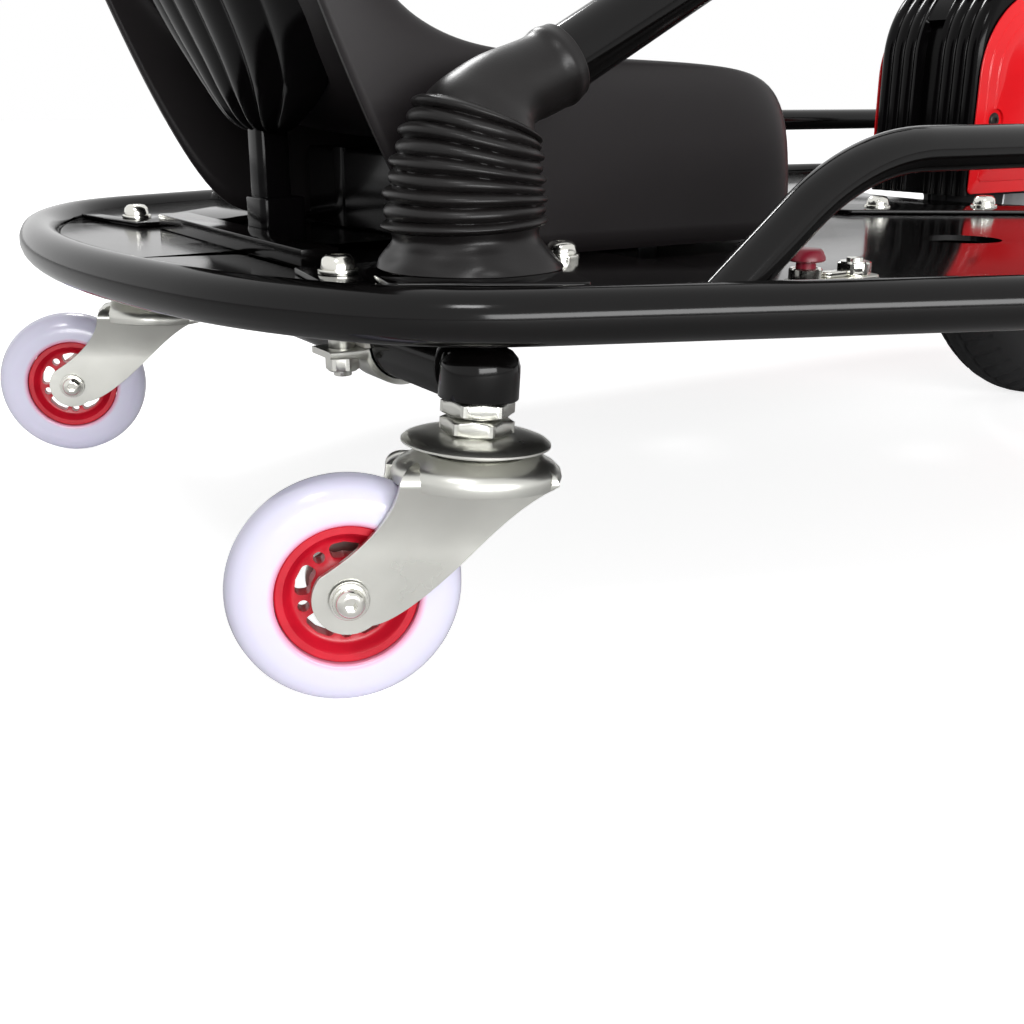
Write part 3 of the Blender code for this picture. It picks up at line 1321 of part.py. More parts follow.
def column_point(distance):
    """A point on the column's axis, from the joint's centre."""
    lean = math.radians(COLUMN_LEAN)
    return Vector((DRIVE_X - distance * math.sin(lean), 0.0, JOINT_Z + distance * math.cos(lean)))


def build_column():
    """The leaning column with its yoke, the bracket that carries it, and the steering wheel."""
    axis = (column_point(1.0) - column_point(0.0)).normalized()
    lean = math.radians(COLUMN_LEAN)
    holder = empty_at("column_spin", (DRIVE_X, 0.0, JOINT_Z), KART)
    holder.rotation_mode = "QUATERNION"
    holder.rotation_quaternion = Matrix.Rotation(-lean, 3, "Y").to_quaternion()
    up = Vector((0.0, 0.0, 1.0))
    shaft = rod("steering_shaft", COLUMN_RADIUS, up * (YOKE_REACH + 1.0), up * COLUMN_LENGTH, STEEL, holder)
    ahead = Vector((1.0, 0.0, 0.0))
    add_yoke(shaft, holder, Vector((0.0, 0.0, 0.0)), up, ahead)
    for side in (1, -1):
        tip = ahead * side * (JOINT_BLOCK_RADIUS + 2 * GAP)
        root = ahead * side * YOKE_EAR_OFFSET
        join(shaft, rod("yoke_pin", JOINT_PIN_RADIUS, tip, root, parent=holder, sides=12))
    build_column_bracket(axis)
    build_steering_wheel(holder)


def build_column_bracket(axis):
    """The sleeve that the column turns in, on two webs from a foot across the neck tubes."""
    low, high = column_point(52.0), column_point(112.0)
    foot_low = NECK_Z + NECK_RADIUS + GAP
    corners = ((DRIVE_X - 66, -48, foot_low), (DRIVE_X - 26, 48, foot_low + 4.0))
    foot = box("column_bracket", *corners, GLOSS_BLACK)
    middle = column_point(82.0)
    for side in (1, -1):
        low_y, high_y = sorted((side * 12.0, side * 17.0))
        outline = (
            (DRIVE_X - 66, foot_low + 2),
            (DRIVE_X - 28, foot_low + 2),
            (middle.x + 14.0, middle.z + 6.0),
            (middle.x - 10.0, middle.z + 14.0),
            (middle.x - 24.0, middle.z - 8.0),
        )
        web = plate("bracket_web", outline, low_y, high_y)
        upright(web)
        web.location.y = (low_y + high_y) / 2 * MM
        join(foot, web)
    join(foot, rod("column_sleeve", 19.0, low, high))
    cut(foot, rod("sleeve_bore", COLUMN_RADIUS + GAP, low - axis * 20, high + axis * 20))


def spoke_bar(name, angle, margin, parent):
    """One spoke from the hub out to the rim's centre line, wider all round by a margin."""
    turn = math.radians(angle)
    up = Vector((0.0, 0.0, 1.0))
    out = Vector((-math.cos(turn), math.sin(turn), 0.0))
    start = out * 14.0 + up * (COLUMN_LENGTH + 5.0)
    end = out * (STEERING_RADIUS - 1.0) + up * (COLUMN_LENGTH + STEERING_RIM_RISE)
    side = (end - start).cross(up.cross(out)).normalized()
    return bar_between(name, start, end, side, SPOKE_THICKNESS + 2 * margin, SPOKE_WIDTH + 2 * margin, parent)


def build_steering_wheel(holder):
    """A three-spoke steering wheel: hub plate with spokes, foam rim, and the centre pad."""
    top = COLUMN_LENGTH
    hub = rod("steering_spokes", 24.0, (0, 0, top + GAP), (0, 0, top + 8.0), GLOSS_BLACK, holder, 20)
    ends = ((0, 0, top + 8.0 + GAP), (0, 0, top + PAD_RISE))
    pad = rod("steering_pad", 27.0, *ends, BLACK_PLASTIC, holder, 20, 22.0)
    for angle in (0.0, 120.0, 240.0):
        join(hub, spoke_bar("spoke", angle, 0.0, holder))
        cut(pad, spoke_bar("pad_room", angle, GAP, holder))
    points = at_height(circle((0.0, 0.0), STEERING_RADIUS, 22), top + STEERING_RIM_RISE)
    tube("steering_rim", points, STEERING_RIM_RADIUS, BLACK_RUBBER, holder, resolution=2, closed=True)
    cut(hub, tube("rim_room", points, STEERING_RIM_RADIUS + GAP, None, holder, resolution=2, closed=True))


def build_controls():
    """The accelerator pedal with its bracket, the switch box, and the reset button."""
    across = -236.0
    hinge = Vector((760.0, across, DECK_TOP + 14.0))
    corners = ((738, across - 30, DECK_TOP + GAP), (790, across + 30, DECK_TOP + 3.3))
    bracket = box("pedal_bracket", *corners, GLOSS_BLACK)
    for side in (1, -1):
        low_y, high_y = sorted((across + side * 26.0, across + side * 29.0))
        join(bracket, box("pedal_ear", (752, low_y, DECK_TOP + 2), (768, high_y, DECK_TOP + 22)))
    pin = rod("pedal_pin", 3.0, hinge - Vector((0, 27, 0)), hinge + Vector((0, 27, 0)), sides=16)
    join(bracket, pin)
    pivot = empty_at("pedal_pivot", hinge, KART)
    pivot.rotation_euler = (0.0, math.radians(24.0), 0.0)
    pedal = box("accelerator_pedal", (-3.0, -24.0, -8.0), (5.0, 24.0, 118.0), BLACK_PLASTIC, pivot, 1.5)
    join(pedal, rod("pedal_barrel", 7.5, (0, -24, 0), (0, 24, 0), parent=pivot, sides=20))
    for index in range(TREAD_COUNT):
        height = 24.0 + index * TREAD_PITCH
        join(pedal, box("pedal_tread", (-5.0, -20, height), (-2.0, 20, height + 5.0), parent=pivot))
    cut(pedal, rod("pedal_bore", 3.0 + GAP, (0, -40, 0), (0, 40, 0), parent=pivot, sides=16))
    build_switches()


def build_switches():
    """The switch box with rocker and charge inlet, and the reset button on its bracket."""
    low = Vector((SWITCH_BOX_X, 118.0, DECK_TOP + GAP))
    high = Vector((SWITCH_BOX_X + 80.0, 146.0, DECK_TOP + 52.0))
    case = box("switch_box", low, high, BLACK_PLASTIC, bevel=2.5)
    face = high.y
    rocker_x, inlet_x = low.x + 21.0, low.x + 60.0
    cut(case, box("rocker_well", (rocker_x - 11, face - 8, 184), (rocker_x + 11, face + 4, 206)))
    rocker = empty_at("rocker_pivot", (rocker_x, face - 2.0, 195.0), KART)
    switch = rod("rocker_switch", 8.5, (-10.0, 0, 0), (10.0, 0, 0), RED_CORE, rocker, 24)
    cut(switch, box("rocker_back", (-15, -12, -12), (15, -2.0, 12), parent=rocker))
    join(case, rod("inlet_collar", 10.0, (inlet_x, face - 1, 190), (inlet_x, face + 5.0, 190)))
    cut(case, rod("inlet_bore", 7.0, (inlet_x, face - 14, 190), (inlet_x, face + 8.0, 190)))
    hinge = empty_at("cap_hinge", (inlet_x, face + 6.5, 203.5), KART)
    cap = rod("charge_cap", 11.0, (0, -1.2, -13.5), (0, 1.6, -13.5), BLACK_RUBBER, hinge, 28)
    join(cap, box("cap_tab", (-4, -1.0, -6), (4, 1.5, 1.5), parent=hinge))
    join(case, box("cap_perch", (inlet_x - 6, face - 1, 204.5), (inlet_x + 6, face + 4.0, 208.5)))
    base = DECK_TOP + GAP
    bracket = box("reset_bracket", (128, -277, base), (176, -263, base + 2.0), ZINC)
    join(bracket, rod("reset_collar", 7.0, (136, -270, base + 1), (136, -270, base + 7.0), sides=20))
    cut(bracket, rod("reset_bore", 4.6, (136, -270, base + 2.0), (136, -270, base + 12.0), sides=20))
    join(bracket, rod("reset_nut", 7.5, (165, -270, base + 1), (165, -270, base + 8.0), sides=6))
    button = rod("reset_button", 4.2, (136, -270, base + 4.6), (136, -270, base + 11.0), DARK_RED, sides=20)
    head = ((136, -270, base + 10.0), (136, -270, base + 15.0))
    join(button, rod("button_head", 8.0, *head, sides=20, tip_radius=6.0))


def main():
    """Build every sub-assembly."""
    build_frame()
    build_deck()
    build_side_rails()
    build_seat()
    build_seat_fittings()
    build_straps()
    build_boot()
    build_axle()
    build_casters()
    build_drive()
    build_steering()
    build_controls()


main()
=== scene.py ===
"""Looks of an electric drift kart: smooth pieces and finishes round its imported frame.

Lengths are in millimetres, measured as the frame's maker measured them: X forward from the line
through both caster stems, Y to the rider's left, Z up from the floor. in_frame turns them to
metres in the frame's own place.
"""

from __future__ import annotations

import json
import logging
import math
from dataclasses import dataclass
from enum import Enum
from typing import Callable, Sequence

import bmesh
import bpy
import numpy as np
from mathutils import Matrix

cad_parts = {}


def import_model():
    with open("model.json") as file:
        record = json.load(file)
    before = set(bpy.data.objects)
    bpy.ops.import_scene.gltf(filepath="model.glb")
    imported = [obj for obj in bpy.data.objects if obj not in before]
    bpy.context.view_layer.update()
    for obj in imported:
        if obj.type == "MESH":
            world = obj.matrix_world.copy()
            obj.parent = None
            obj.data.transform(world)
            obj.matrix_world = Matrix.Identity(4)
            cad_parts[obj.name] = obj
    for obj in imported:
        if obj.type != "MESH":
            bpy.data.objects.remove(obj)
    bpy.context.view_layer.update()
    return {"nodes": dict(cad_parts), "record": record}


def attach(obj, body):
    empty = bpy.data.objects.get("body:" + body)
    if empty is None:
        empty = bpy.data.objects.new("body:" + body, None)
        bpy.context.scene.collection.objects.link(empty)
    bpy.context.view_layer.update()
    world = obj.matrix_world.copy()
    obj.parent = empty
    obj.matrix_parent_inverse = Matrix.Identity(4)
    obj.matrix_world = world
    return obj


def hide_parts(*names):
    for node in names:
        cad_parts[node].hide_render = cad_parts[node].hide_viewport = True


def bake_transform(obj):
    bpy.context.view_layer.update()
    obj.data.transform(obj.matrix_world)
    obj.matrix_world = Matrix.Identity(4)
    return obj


LOG = logging.getLogger("drift_kart")
MM = 0.001
STEM_X = -417.9
FULL_TURN = 2 * math.pi
UP = np.array((0.0, 0.0, 1.0))
LEFT = np.array((0.0, 1.0, 0.0))
AHEAD = np.array((1.0, 0.0, 0.0))

# Sizes and places that several sub-assemblies share; GAP keeps pieces clear of each other

GAP = 0.3
DECK_TOP = 165.3
PLATE_TOP = 168.3
AXLE_Z = 138.0
STEM_Y = 230.0
STEM_LEAN = 4.0
BAR_Y = 182.0
STRAP_BOLT_X = -26.0
STRAP_Y = 154.0
DRIVE_X = 695.0
JOINT_Z = 393.0


class Side(Enum):
    """The rider's left or right, with its sign along Y."""

    LEFT = 1
    RIGHT = -1

    @property
    def word(self) -> str:
        """The side as it stands in a name."""
        return self.name.lower()

    def carry(self, points: np.ndarray) -> np.ndarray:
        """Points of the left side, or their mirror image on the right."""
        return points if self is Side.LEFT else mirrored(points)


# Curves and surfaces


def unit(vectors: np.ndarray) -> np.ndarray:
    """The same directions, each vector of the last axis divided by its length."""
    return vectors / np.linalg.norm(vectors, axis=-1, keepdims=True)


def round_turn(count: int) -> np.ndarray:
    """Angles spread evenly round a circle."""
    return np.linspace(0.0, FULL_TURN, num=count, endpoint=False)


def rounded(corners: Sequence, radius: float | Sequence, steps: int = 6, closed: bool = False) -> np.ndarray:
    """A polyline whose corners are arcs of circles.

    Each arc is the rational quadratic curve between its tangent points, weighted by the sine of
    half the inner angle, which is an exact circle.

    Args:
        corners: the corners, in two or three dimensions.
        radius: one radius, or one for each corner; an open line's ends stay as they are.
        steps: pieces in each arc.
        closed: whether the last corner joins the first.

    Returns:
        The points along the line.
    """
    corners = np.asarray(corners, float)
    before = unit(np.roll(corners, 1, axis=0) - corners)
    after = unit(np.roll(corners, -1, axis=0) - corners)
    half = np.arccos(np.clip((before * after).sum(axis=1), -1.0, 1.0)) / 2
    reach = (np.broadcast_to(radius, len(corners)) / np.tan(half))[:, None]
    weight = np.sin(half)[:, None]
    share = np.linspace(0.0, 1.0, steps + 1)[None, :]
    first, middle, last = (1 - share) ** 2, 2 * share * (1 - share) * weight, share**2
    total = first + middle + last
    arcs = first[..., None] * (corners + before * reach)[:, None]
    arcs = arcs + middle[..., None] * corners[:, None] + last[..., None] * (corners + after * reach)[:, None]
    arcs /= total[..., None]
    if closed:
        return arcs.reshape(-1, corners.shape[1])
    return np.vstack([corners[:1], arcs[1:-1].reshape(-1, corners.shape[1]), corners[-1:]])


def rectangle(low: Sequence, high: Sequence, radius: float | Sequence, steps: int = 6) -> np.ndarray:
    """The outline from a low to a high corner, with one radius or one for each corner in turn."""
    (x0, y0), (x1, y1) = low, high
    return rounded(((x0, y0), (x1, y0), (x1, y1), (x0, y1)), radius, steps, True)


def smooth_table(table: Sequence, count: int) -> np.ndarray:
    """A smooth curve through a table's rows, evenly sampled.

    Each stretch is the cubic whose slope at a row is half the difference of that row's neighbours.

    Args:
        table: rows of numbers.
        count: how many samples to take.

    Returns:
        An array of count rows.
    """
    rows = np.asarray(table, float)
    padded = np.vstack([2 * rows[0] - rows[1], rows, 2 * rows[-1] - rows[-2]])
    place = np.linspace(0.0, len(rows) - 1.0, count)
    cell = np.minimum(place.astype(int), len(rows) - 2)
    t = (place - cell)[:, None]
    a, b, c, d = (padded[cell + index] for index in range(4))
    return b + t * (c - a) / 2 + t**2 * (a - 2.5 * b + 2 * c - d / 2) + t**3 * (1.5 * (b - c) + (d - a) / 2)


def hexagon(turn: np.ndarray) -> np.ndarray:
    """A hexagon's radius over its corner's: cos 30 degrees over the cosine from a flat's middle."""
    flat = math.radians(60.0)
    return math.cos(flat / 2) / np.cos(np.mod(turn, flat) - flat / 2)


def axes_along(axis: Sequence) -> tuple[np.ndarray, np.ndarray, np.ndarray]:
    """Two directions square to an axis, and the axis itself.

    Args:
        axis: a direction of any length.

    Returns:
        Three vectors of length one, square to each other.
    """
    along = unit(np.asarray(axis, float))
    aside = UP if abs(along[2]) < 0.9 else AHEAD
    first = unit(np.cross(aside, along))
    return first, np.cross(along, first), along


def revolve(
    profile: Sequence, centre: Sequence = (0.0, 0.0, 0.0), axis: Sequence = UP, sides: int = 48,
    flats: float | Sequence = 0.0,
) -> np.ndarray:
    """A turned surface: each profile row (radius, height) is carried round an axis.

    Args:
        profile: rows of radius and height.
        centre: where height is zero.
        axis: the direction of height.
        sides: points round each ring.
        flats: how hexagonal each ring is, from 0, round, to 1.

    Returns:
        An array of rings, rows by sides by three.
    """
    radius, height = np.asarray(profile, float).T
    turn = round_turn(sides)
    share = np.broadcast_to(flats, radius.shape)[:, None]
    reach = radius[:, None] * (1 + share * (hexagon(turn)[None, :] - 1))
    first, second, along = axes_along(axis)
    ring = np.cos(turn)[:, None] * first + np.sin(turn)[:, None] * second
    return np.asarray(centre, float) + reach[..., None] * ring + height[:, None, None] * along


def sweep(
    path: np.ndarray, radius: float | np.ndarray, normal: Sequence, sides: int = 32, closed: bool = False
) -> np.ndarray:
    """A round tube along a flat path.

    A point is the path's, plus radius times (cos t times its side plus sin t times the normal).

    Args:
        path: points of the centre line, all in one plane.
        radius: one radius, or one at each point.
        normal: the normal of the path's plane.
        sides: points round each ring.
        closed: whether the path is a loop.

    Returns:
        An array of rings, points by sides by three.
    """
    path = np.asarray(path, float)
    if closed:
        tangent = np.roll(path, -1, axis=0) - np.roll(path, 1, axis=0)
    else:
        tangent = np.gradient(path, axis=0)
    normal = np.asarray(normal, float)
    side = unit(np.cross(tangent, normal))
    turn = round_turn(sides)[None, :, None]
    reach = np.broadcast_to(radius, len(path))[:, None, None]
    return path[:, None] + reach * (np.cos(turn) * side[:, None] + np.sin(turn) * normal)


def slab(outline: np.ndarray, low: float, high: float, edge: float = 0.7, steps: int = 3) -> np.ndarray:
    """A flat plate with rounded edges, as rings from its underside to its top.

    A ring is the outline moved inwards along its normals by edge times (1 minus sin t), at edge
    times (1 minus cos t) from the face.

    Args:
        outline: the closed outline in X and Y.
        low: the underside's height.
        high: the top's height.
        edge: the rounded edge's radius.
        steps: pieces in each rounded edge.

    Returns:
        An array of rings, rows by points by three.
    """
    outline = np.asarray(outline, float)
    ahead, behind = np.roll(outline, -1, axis=0), np.roll(outline, 1, axis=0)
    area = (outline[:, 0] * ahead[:, 1] - ahead[:, 0] * outline[:, 1]).sum()
    along = unit(ahead - behind)
    outward = np.stack([along[:, 1], -along[:, 0]], axis=1) * math.copysign(1.0, area)
    turn = np.linspace(0.0, math.pi / 2, steps + 1)
    inset, rise = edge * (1 - np.sin(turn)), edge * (1 - np.cos(turn))
    inset, height = np.concatenate([inset, inset[::-1]]), np.concatenate([low + rise, (high - rise)[::-1]])
    flat = outline[None] - inset[:, None, None] * outward[None]
    return np.concatenate([flat, np.broadcast_to(height[:, None, None], (*flat.shape[:2], 1))], axis=2)


def upright(points: np.ndarray) -> np.ndarray:
    """Stand a flat shape up: its X and Y become X and Z, and its height runs along Y."""
    return points[..., [0, 2, 1]]


def facing(points: np.ndarray) -> np.ndarray:
    """Stand a flat shape across the kart: its X and Y become Y and Z, its height runs along X."""
    return points[..., [2, 0, 1]]


def turned(points: np.ndarray, turn: np.ndarray, origin: Sequence) -> np.ndarray:
    """Points carried by a rotation, then moved to an origin."""
    return points @ turn.T + np.asarray(origin, float)


def rotation(axis: str, degrees: float) -> np.ndarray:
    """The rotation about Y or Z by the right hand rule.

    Args:
        axis: "y" or "z".
        degrees: the angle.

    Returns:
        The matrix, three by three.
    """
    angle = math.radians(degrees)
    cos, sin = math.cos(angle), math.sin(angle)
    if axis == "y":
        return np.array(((cos, 0, sin), (0, 1, 0), (-sin, 0, cos)), float)
    return np.array(((cos, -sin, 0), (sin, cos, 0), (0, 0, 1)), float)


def mirrored(points: np.ndarray) -> np.ndarray:
    """The same points on the kart's other side."""
    return points * np.array((1.0, -1.0, 1.0))[: points.shape[-1]]


def both_halves(half: Sequence, joined: bool = True) -> np.ndarray:
    """Rows, then their mirror image backwards; where the two are joined they share a row."""
    rows = np.asarray(half, float)
    return np.vstack([rows, (rows * (1.0, -1.0))[::-1][int(joined) :]])


def in_frame(points: Sequence) -> np.ndarray:
    """Points in the kart's millimetres, as metres in the frame's own place."""
    return (np.asarray(points, float) + np.array((STEM_X, 0.0, 0.0))) * MM


# Materials


def linear(channel: float) -> float:
    """One sRGB channel, from 0 to 255, as the linear value that a shader takes."""
    share = channel / 255
    return share / 12.92 if share <= 0.04045 else ((share + 0.055) / 1.055) ** 2.4


def colour(red: float, green: float, blue: float) -> tuple[float, float, float, float]:
    """An sRGB colour, from 0 to 255, as a shader's linear colour."""
    return (linear(red), linear(green), linear(blue), 1.0)


class Value:
    """A number that varies over a surface; its operators add Math nodes."""

    def __init__(self, recipe: Recipe, socket: bpy.types.NodeSocket) -> None:
        """Hold a socket and the recipe that it belongs to."""
        self.recipe = recipe
        self.socket = socket

    def _math(self, operation: str, *terms: Value | float) -> Value:
        """One Math node on this many terms."""
        node = self.recipe.node("ShaderNodeMath", {"operation": operation}, dict(enumerate(terms)))
        return Value(self.recipe, node.outputs[0])

    def __add__(self, other: Value | float) -> Value:
        """The sum."""
        return self._math("ADD", self, other)

    __radd__ = __add__

    def __sub__(self, other: Value | float) -> Value:
        """The difference."""
        return self._math("SUBTRACT", self, other)

    def __rsub__(self, other: float) -> Value:
        """The difference, reflected."""
        return self._math("SUBTRACT", other, self)

    def __mul__(self, other: Value | float) -> Value:
        """The product."""
        return self._math("MULTIPLY", self, other)

    __rmul__ = __mul__

    def ramp(self, low: float, high: float) -> Value:
        """0 at low and below, 1 at high and above, and smooth between."""
        values = {"Value": self, "From Min": low, "From Max": high}
        node = self.recipe.node("ShaderNodeMapRange", {"interpolation_type": "SMOOTHSTEP"}, values)
        return Value(self.recipe, node.outputs[0])


class Recipe:
    """One node material, and the one place that adds nodes to it."""

    def __init__(self, name: str) -> None:
        """Start a Principled material."""
        self.material = bpy.data.materials.new(name)
        self.material.use_nodes = True
        self.tree = self.material.node_tree
        self.shader = self.tree.nodes["Principled BSDF"]

    def feed(self, socket: bpy.types.NodeSocket, value: object) -> None:
        """Link a value to a socket, or set the socket to a constant.

        Args:
            socket: the socket that is fed.
            value: a Value, another node's socket, or a constant.
        """
        source = value.socket if isinstance(value, Value) else value
        if isinstance(source, bpy.types.NodeSocket):
            self.tree.links.new(source, socket)
        else:
            socket.default_value = source

    def node(self, kind: str, settings: dict | None = None, values: dict | None = None) -> bpy.types.Node:
        """Add one node.

        Args:
            kind: the node's type.
            settings: properties that are set before the sockets are fed.
            values: socket names or numbers, each with a constant or a link.

        Returns:
            The node.
        """
        made = self.tree.nodes.new(kind)
        for name, setting in (settings or {}).items():
            setattr(made, name, setting)
        for name, value in (values or {}).items():
            self.feed(made.inputs[name], value)
        return made

    def noise(self, scale: float, detail: float = 2.0, stretch: Sequence = (1.0, 1.0, 1.0)) -> Value:
        """Noise on the object's own coordinates, about 0.5 in the middle.

        Args:
            scale: how many lumps there are to a metre.
            detail: how many finer layers lie over them.
            stretch: a factor for each axis.

        Returns:
            The noise.
        """
        place = self.node("ShaderNodeTexCoord").outputs["Object"]
        spread = self.node("ShaderNodeMapping", None, {"Vector": place, "Scale": stretch})
        values = {"Vector": spread.outputs[0], "Scale": scale, "Detail": detail}
        return Value(self, self.node("ShaderNodeTexNoise", None, values).outputs[0])

    def attribute(self, name: str) -> Value:
        """A piece's own attribute, as a number."""
        return Value(self, self.node("ShaderNodeAttribute", {"attribute_name": name}).outputs["Fac"])

    def mix(self, share: Value, first: object, second: object) -> bpy.types.NodeSocket:
        """One colour turning into another.

        Args:
            share: 0 for the first colour, 1 for the second.
            first: a colour or a socket.
            second: a colour or a socket.

        Returns:
            The mixed colour's socket.
        """
        node = self.node("ShaderNodeMix", {"data_type": "RGBA"})
        self.feed(node.inputs["Factor"], share)
        colours = [socket for socket in node.inputs if socket.type == "RGBA"]
        self.feed(colours[0], first)
        self.feed(colours[1], second)
        return [socket for socket in node.outputs if socket.type == "RGBA"][0]

    def bump(self, height: Value, distance: float) -> None:
        """Raise the surface through its normal, by a height of 0 to 1 times a distance in metres."""
        node = self.node("ShaderNodeBump", None, {"Height": height, "Distance": distance})
        self.feed(self.shader.inputs["Normal"], node.outputs[0])

    def set(self, **values: object) -> None:
        """Feed the shader's own sockets; an underscore stands for a space."""
        for name, value in values.items():
            self.feed(self.shader.inputs[name.replace("_", " ").title().replace("Ior", "IOR")], value)


@dataclass(frozen=True)
class Finish:
    """A surface finish: a colour that drifts a little, a roughness that drifts, and a fine grain."""

    name: str
    slot: str
    tone: tuple[float, float, float]
    roughness: float
    metallic: float = 0.0
    drift: float = 0.12
    patches: float = 0.06
    patch_scale: float = 14.0
    grain_scale: float = 900.0
    grain: float = 0.0
    stretch: tuple[float, float, float] = (1.0, 1.0, 1.0)
    coat: float = 0.0
    coat_roughness: float = 0.06
    specular: float = 0.5
    wear: float = 0.0
    worn_edge: tuple[float, float] = (0.53, 0.62)

    def material(self) -> bpy.types.Material:
        """The finish as a node material, made once.

        Returns:
            The material of this name.
        """
        name = self.name + "_finish"
        found = bpy.data.materials.get(name)
        if found:
            return found
        recipe = Recipe(name)
        self.dress(recipe)
        return recipe.material

    def dress(self, recipe: Recipe) -> None:
        """Fill a recipe: base colour, roughness and grain from noise, the rest as constants.

        Args:
            recipe: the material to fill.
        """
        cloud = recipe.noise(self.patch_scale, 4.0, self.stretch)
        base = colour(*self.tone)
        darker = tuple(channel * (1 - self.drift) for channel in base[:3]) + (1.0,)
        lighter = tuple(min(1.0, channel * (1 + self.drift)) for channel in base[:3]) + (1.0,)
        skin = recipe.mix(cloud.ramp(0.3, 0.7), darker, lighter)
        if self.wear:
            pointed = Value(recipe, recipe.node("ShaderNodeNewGeometry").outputs["Pointiness"])
            share = pointed.ramp(*self.worn_edge) * recipe.noise(160.0, 3.0).ramp(0.4, 0.7)
            worn = tuple(min(1.0, channel + self.wear * (0.5 - channel)) for channel in base[:3]) + (1.0,)
            skin = recipe.mix(share, skin, worn)
        recipe.set(
            base_color=skin,
            roughness=(cloud - 0.5) * (2 * self.patches) + self.roughness,
            metallic=self.metallic,
            coat_weight=self.coat,
            coat_roughness=self.coat_roughness,
            specular_ior_level=self.specular,
        )
        if self.grain:
            recipe.bump(recipe.noise(self.grain_scale, 3.0, self.stretch), self.grain)


@dataclass(frozen=True)
class ClearTyreFinish(Finish):
    """Cast clear urethane: milk-white, with the red core's light through it painted as a pink tint near the
    core, a little darker at the tread.
    """

    # painted light: the pink that the red core's light gives the clear urethane near it, painted into its
    # colour
    glow: tuple[float, float, float] = (232, 160, 190)
    rim: tuple[float, float, float] = (214, 212, 232)

    def dress(self, recipe: Recipe) -> None:
        """Fill a recipe: base colour by the attribute depth, 0 at the core and 1 at the tread.

        Args:
            recipe: the material to fill.
        """
        depth = recipe.attribute("depth")
        cloud = recipe.noise(30.0, 2.0)
        # Painted light: pink near the core, where depth is small, stands for the red core's light through the
        # clear urethane
        milk_with_core_light = recipe.mix(depth.ramp(0.0, 0.16), colour(*self.glow), colour(*self.tone))
        skin = recipe.mix((depth + (cloud - 0.5) * 0.1).ramp(0.72, 1.0), milk_with_core_light, colour(*self.rim))
        recipe.set(
            base_color=skin,
            roughness=(cloud - 0.5) * 0.1 + self.roughness,
            subsurface_weight=0.35,
            subsurface_scale=0.006,
            subsurface_radius=(1.0, 0.75, 0.9),
            coat_weight=self.coat,
            coat_roughness=self.coat_roughness,
            specular_ior_level=self.specular,
        )


GLOSS_BLACK = Finish("gloss_black_paint", "gloss_black_paint", (7, 6, 6), 0.12, drift=0.2, patches=0.03,
                     grain_scale=260.0, grain=0.000008, specular=0.25)
BLACK_PLASTIC = Finish("gloss_black_moulding", "black_plastic", (8, 7, 8), 0.15, drift=0.15, patches=0.05,
                       grain_scale=500.0, grain=0.00001, specular=0.1)
SEAT_SATIN = Finish("satin_seat_moulding", "satin_black_moulding", (33, 30, 31), 0.4, drift=0.07,
                    patches=0.05, patch_scale=6.0, grain_scale=1500.0, grain=0.00003, specular=0.25)
RUBBER = Finish("boot_rubber", "black_rubber", (21, 19, 19), 0.34, drift=0.2, patches=0.08, patch_scale=22.0,
                grain_scale=1100.0, grain=0.00004, specular=0.3)
GRIP_RUBBER = Finish("grip_rubber", "black_rubber", (24, 23, 24), 0.62, drift=0.2, patches=0.06,
                     grain_scale=1300.0, grain=0.00008, specular=0.3)
ZINC = Finish("zinc_plate", "zinc_plate", (206, 206, 200), 0.3, metallic=1.0, drift=0.05, patches=0.09,
              patch_scale=26.0, grain_scale=420.0, grain=0.00001, wear=0.15)
BRIGHT_ZINC = Finish("bright_zinc", "zinc_plate", (222, 221, 214), 0.16, metallic=1.0, drift=0.05,
                     patch_scale=60.0, grain_scale=700.0, grain=0.000006)
STEEL = Finish("bright_steel", "bright_steel", (188, 188, 186), 0.25, metallic=1.0, drift=0.06, patches=0.08,
               patch_scale=40.0, grain_scale=800.0, grain=0.00001, stretch=(1.0, 1.0, 6.0))
CLEAR_TYRE = ClearTyreFinish("clear_urethane", "clear_urethane", (219, 217, 236), 0.22, coat=0.25,
                             coat_roughness=0.1)
RED_CORE = Finish("red_nylon", "red_nylon", (196, 20, 42), 0.33, drift=0.12, patches=0.07, patch_scale=60.0,
                  grain_scale=900.0, grain=0.00002)
RED_PANEL = Finish("red_panel_moulding", "red_panel", (232, 24, 32), 0.14, drift=0.05, patches=0.03,
                   grain_scale=500.0, grain=0.000008, specular=0.35)
DARK_RED = Finish("dark_red_cap", "dark_red_cap", (122, 18, 38), 0.35, grain_scale=900.0, grain=0.00002)
TYRE_RUBBER = Finish("tyre_rubber", "tyre_rubber", (26, 26, 27), 0.72, drift=0.2, patches=0.08,
                     grain_scale=900.0, grain=0.00009, specular=0.3)
ALUMINIUM = Finish("cast_aluminium", "cast_aluminium", (152, 153, 155), 0.38, metallic=1.0, drift=0.08,
                   patches=0.08, patch_scale=30.0, grain_scale=700.0, grain=0.00003)
NYLON = Finish("white_nylon", "white_nylon", (214, 212, 204), 0.5, grain_scale=900.0, grain=0.00003)
DARK_STEEL = Finish("dark_socket", "zinc_plate", (52, 50, 48), 0.4, metallic=0.8, grain_scale=900.0,
                    grain=0.00002)

SLOT_FINISH = {
    finish.slot: finish
    for finish in (GLOSS_BLACK, SEAT_SATIN, GRIP_RUBBER, BLACK_PLASTIC, ZINC, STEEL, CLEAR_TYRE, RED_CORE,
                   RED_PANEL, DARK_RED, TYRE_RUBBER, ALUMINIUM, NYLON)
}


# Pieces


# Metres within which a mesh's points merge, and below which its edges go
WELD = 0.000004
SLIVER = 0.000001


def linked(name: str, data: bpy.types.ID) -> bpy.types.Object:
    """A new object in the scene.

    Args:
        name: its name.
        data: the mesh, lamp or camera that it shows.

    Returns:
        The object.
    """
    made = bpy.data.objects.new(name, data)
    bpy.context.scene.collection.objects.link(made)
    return made


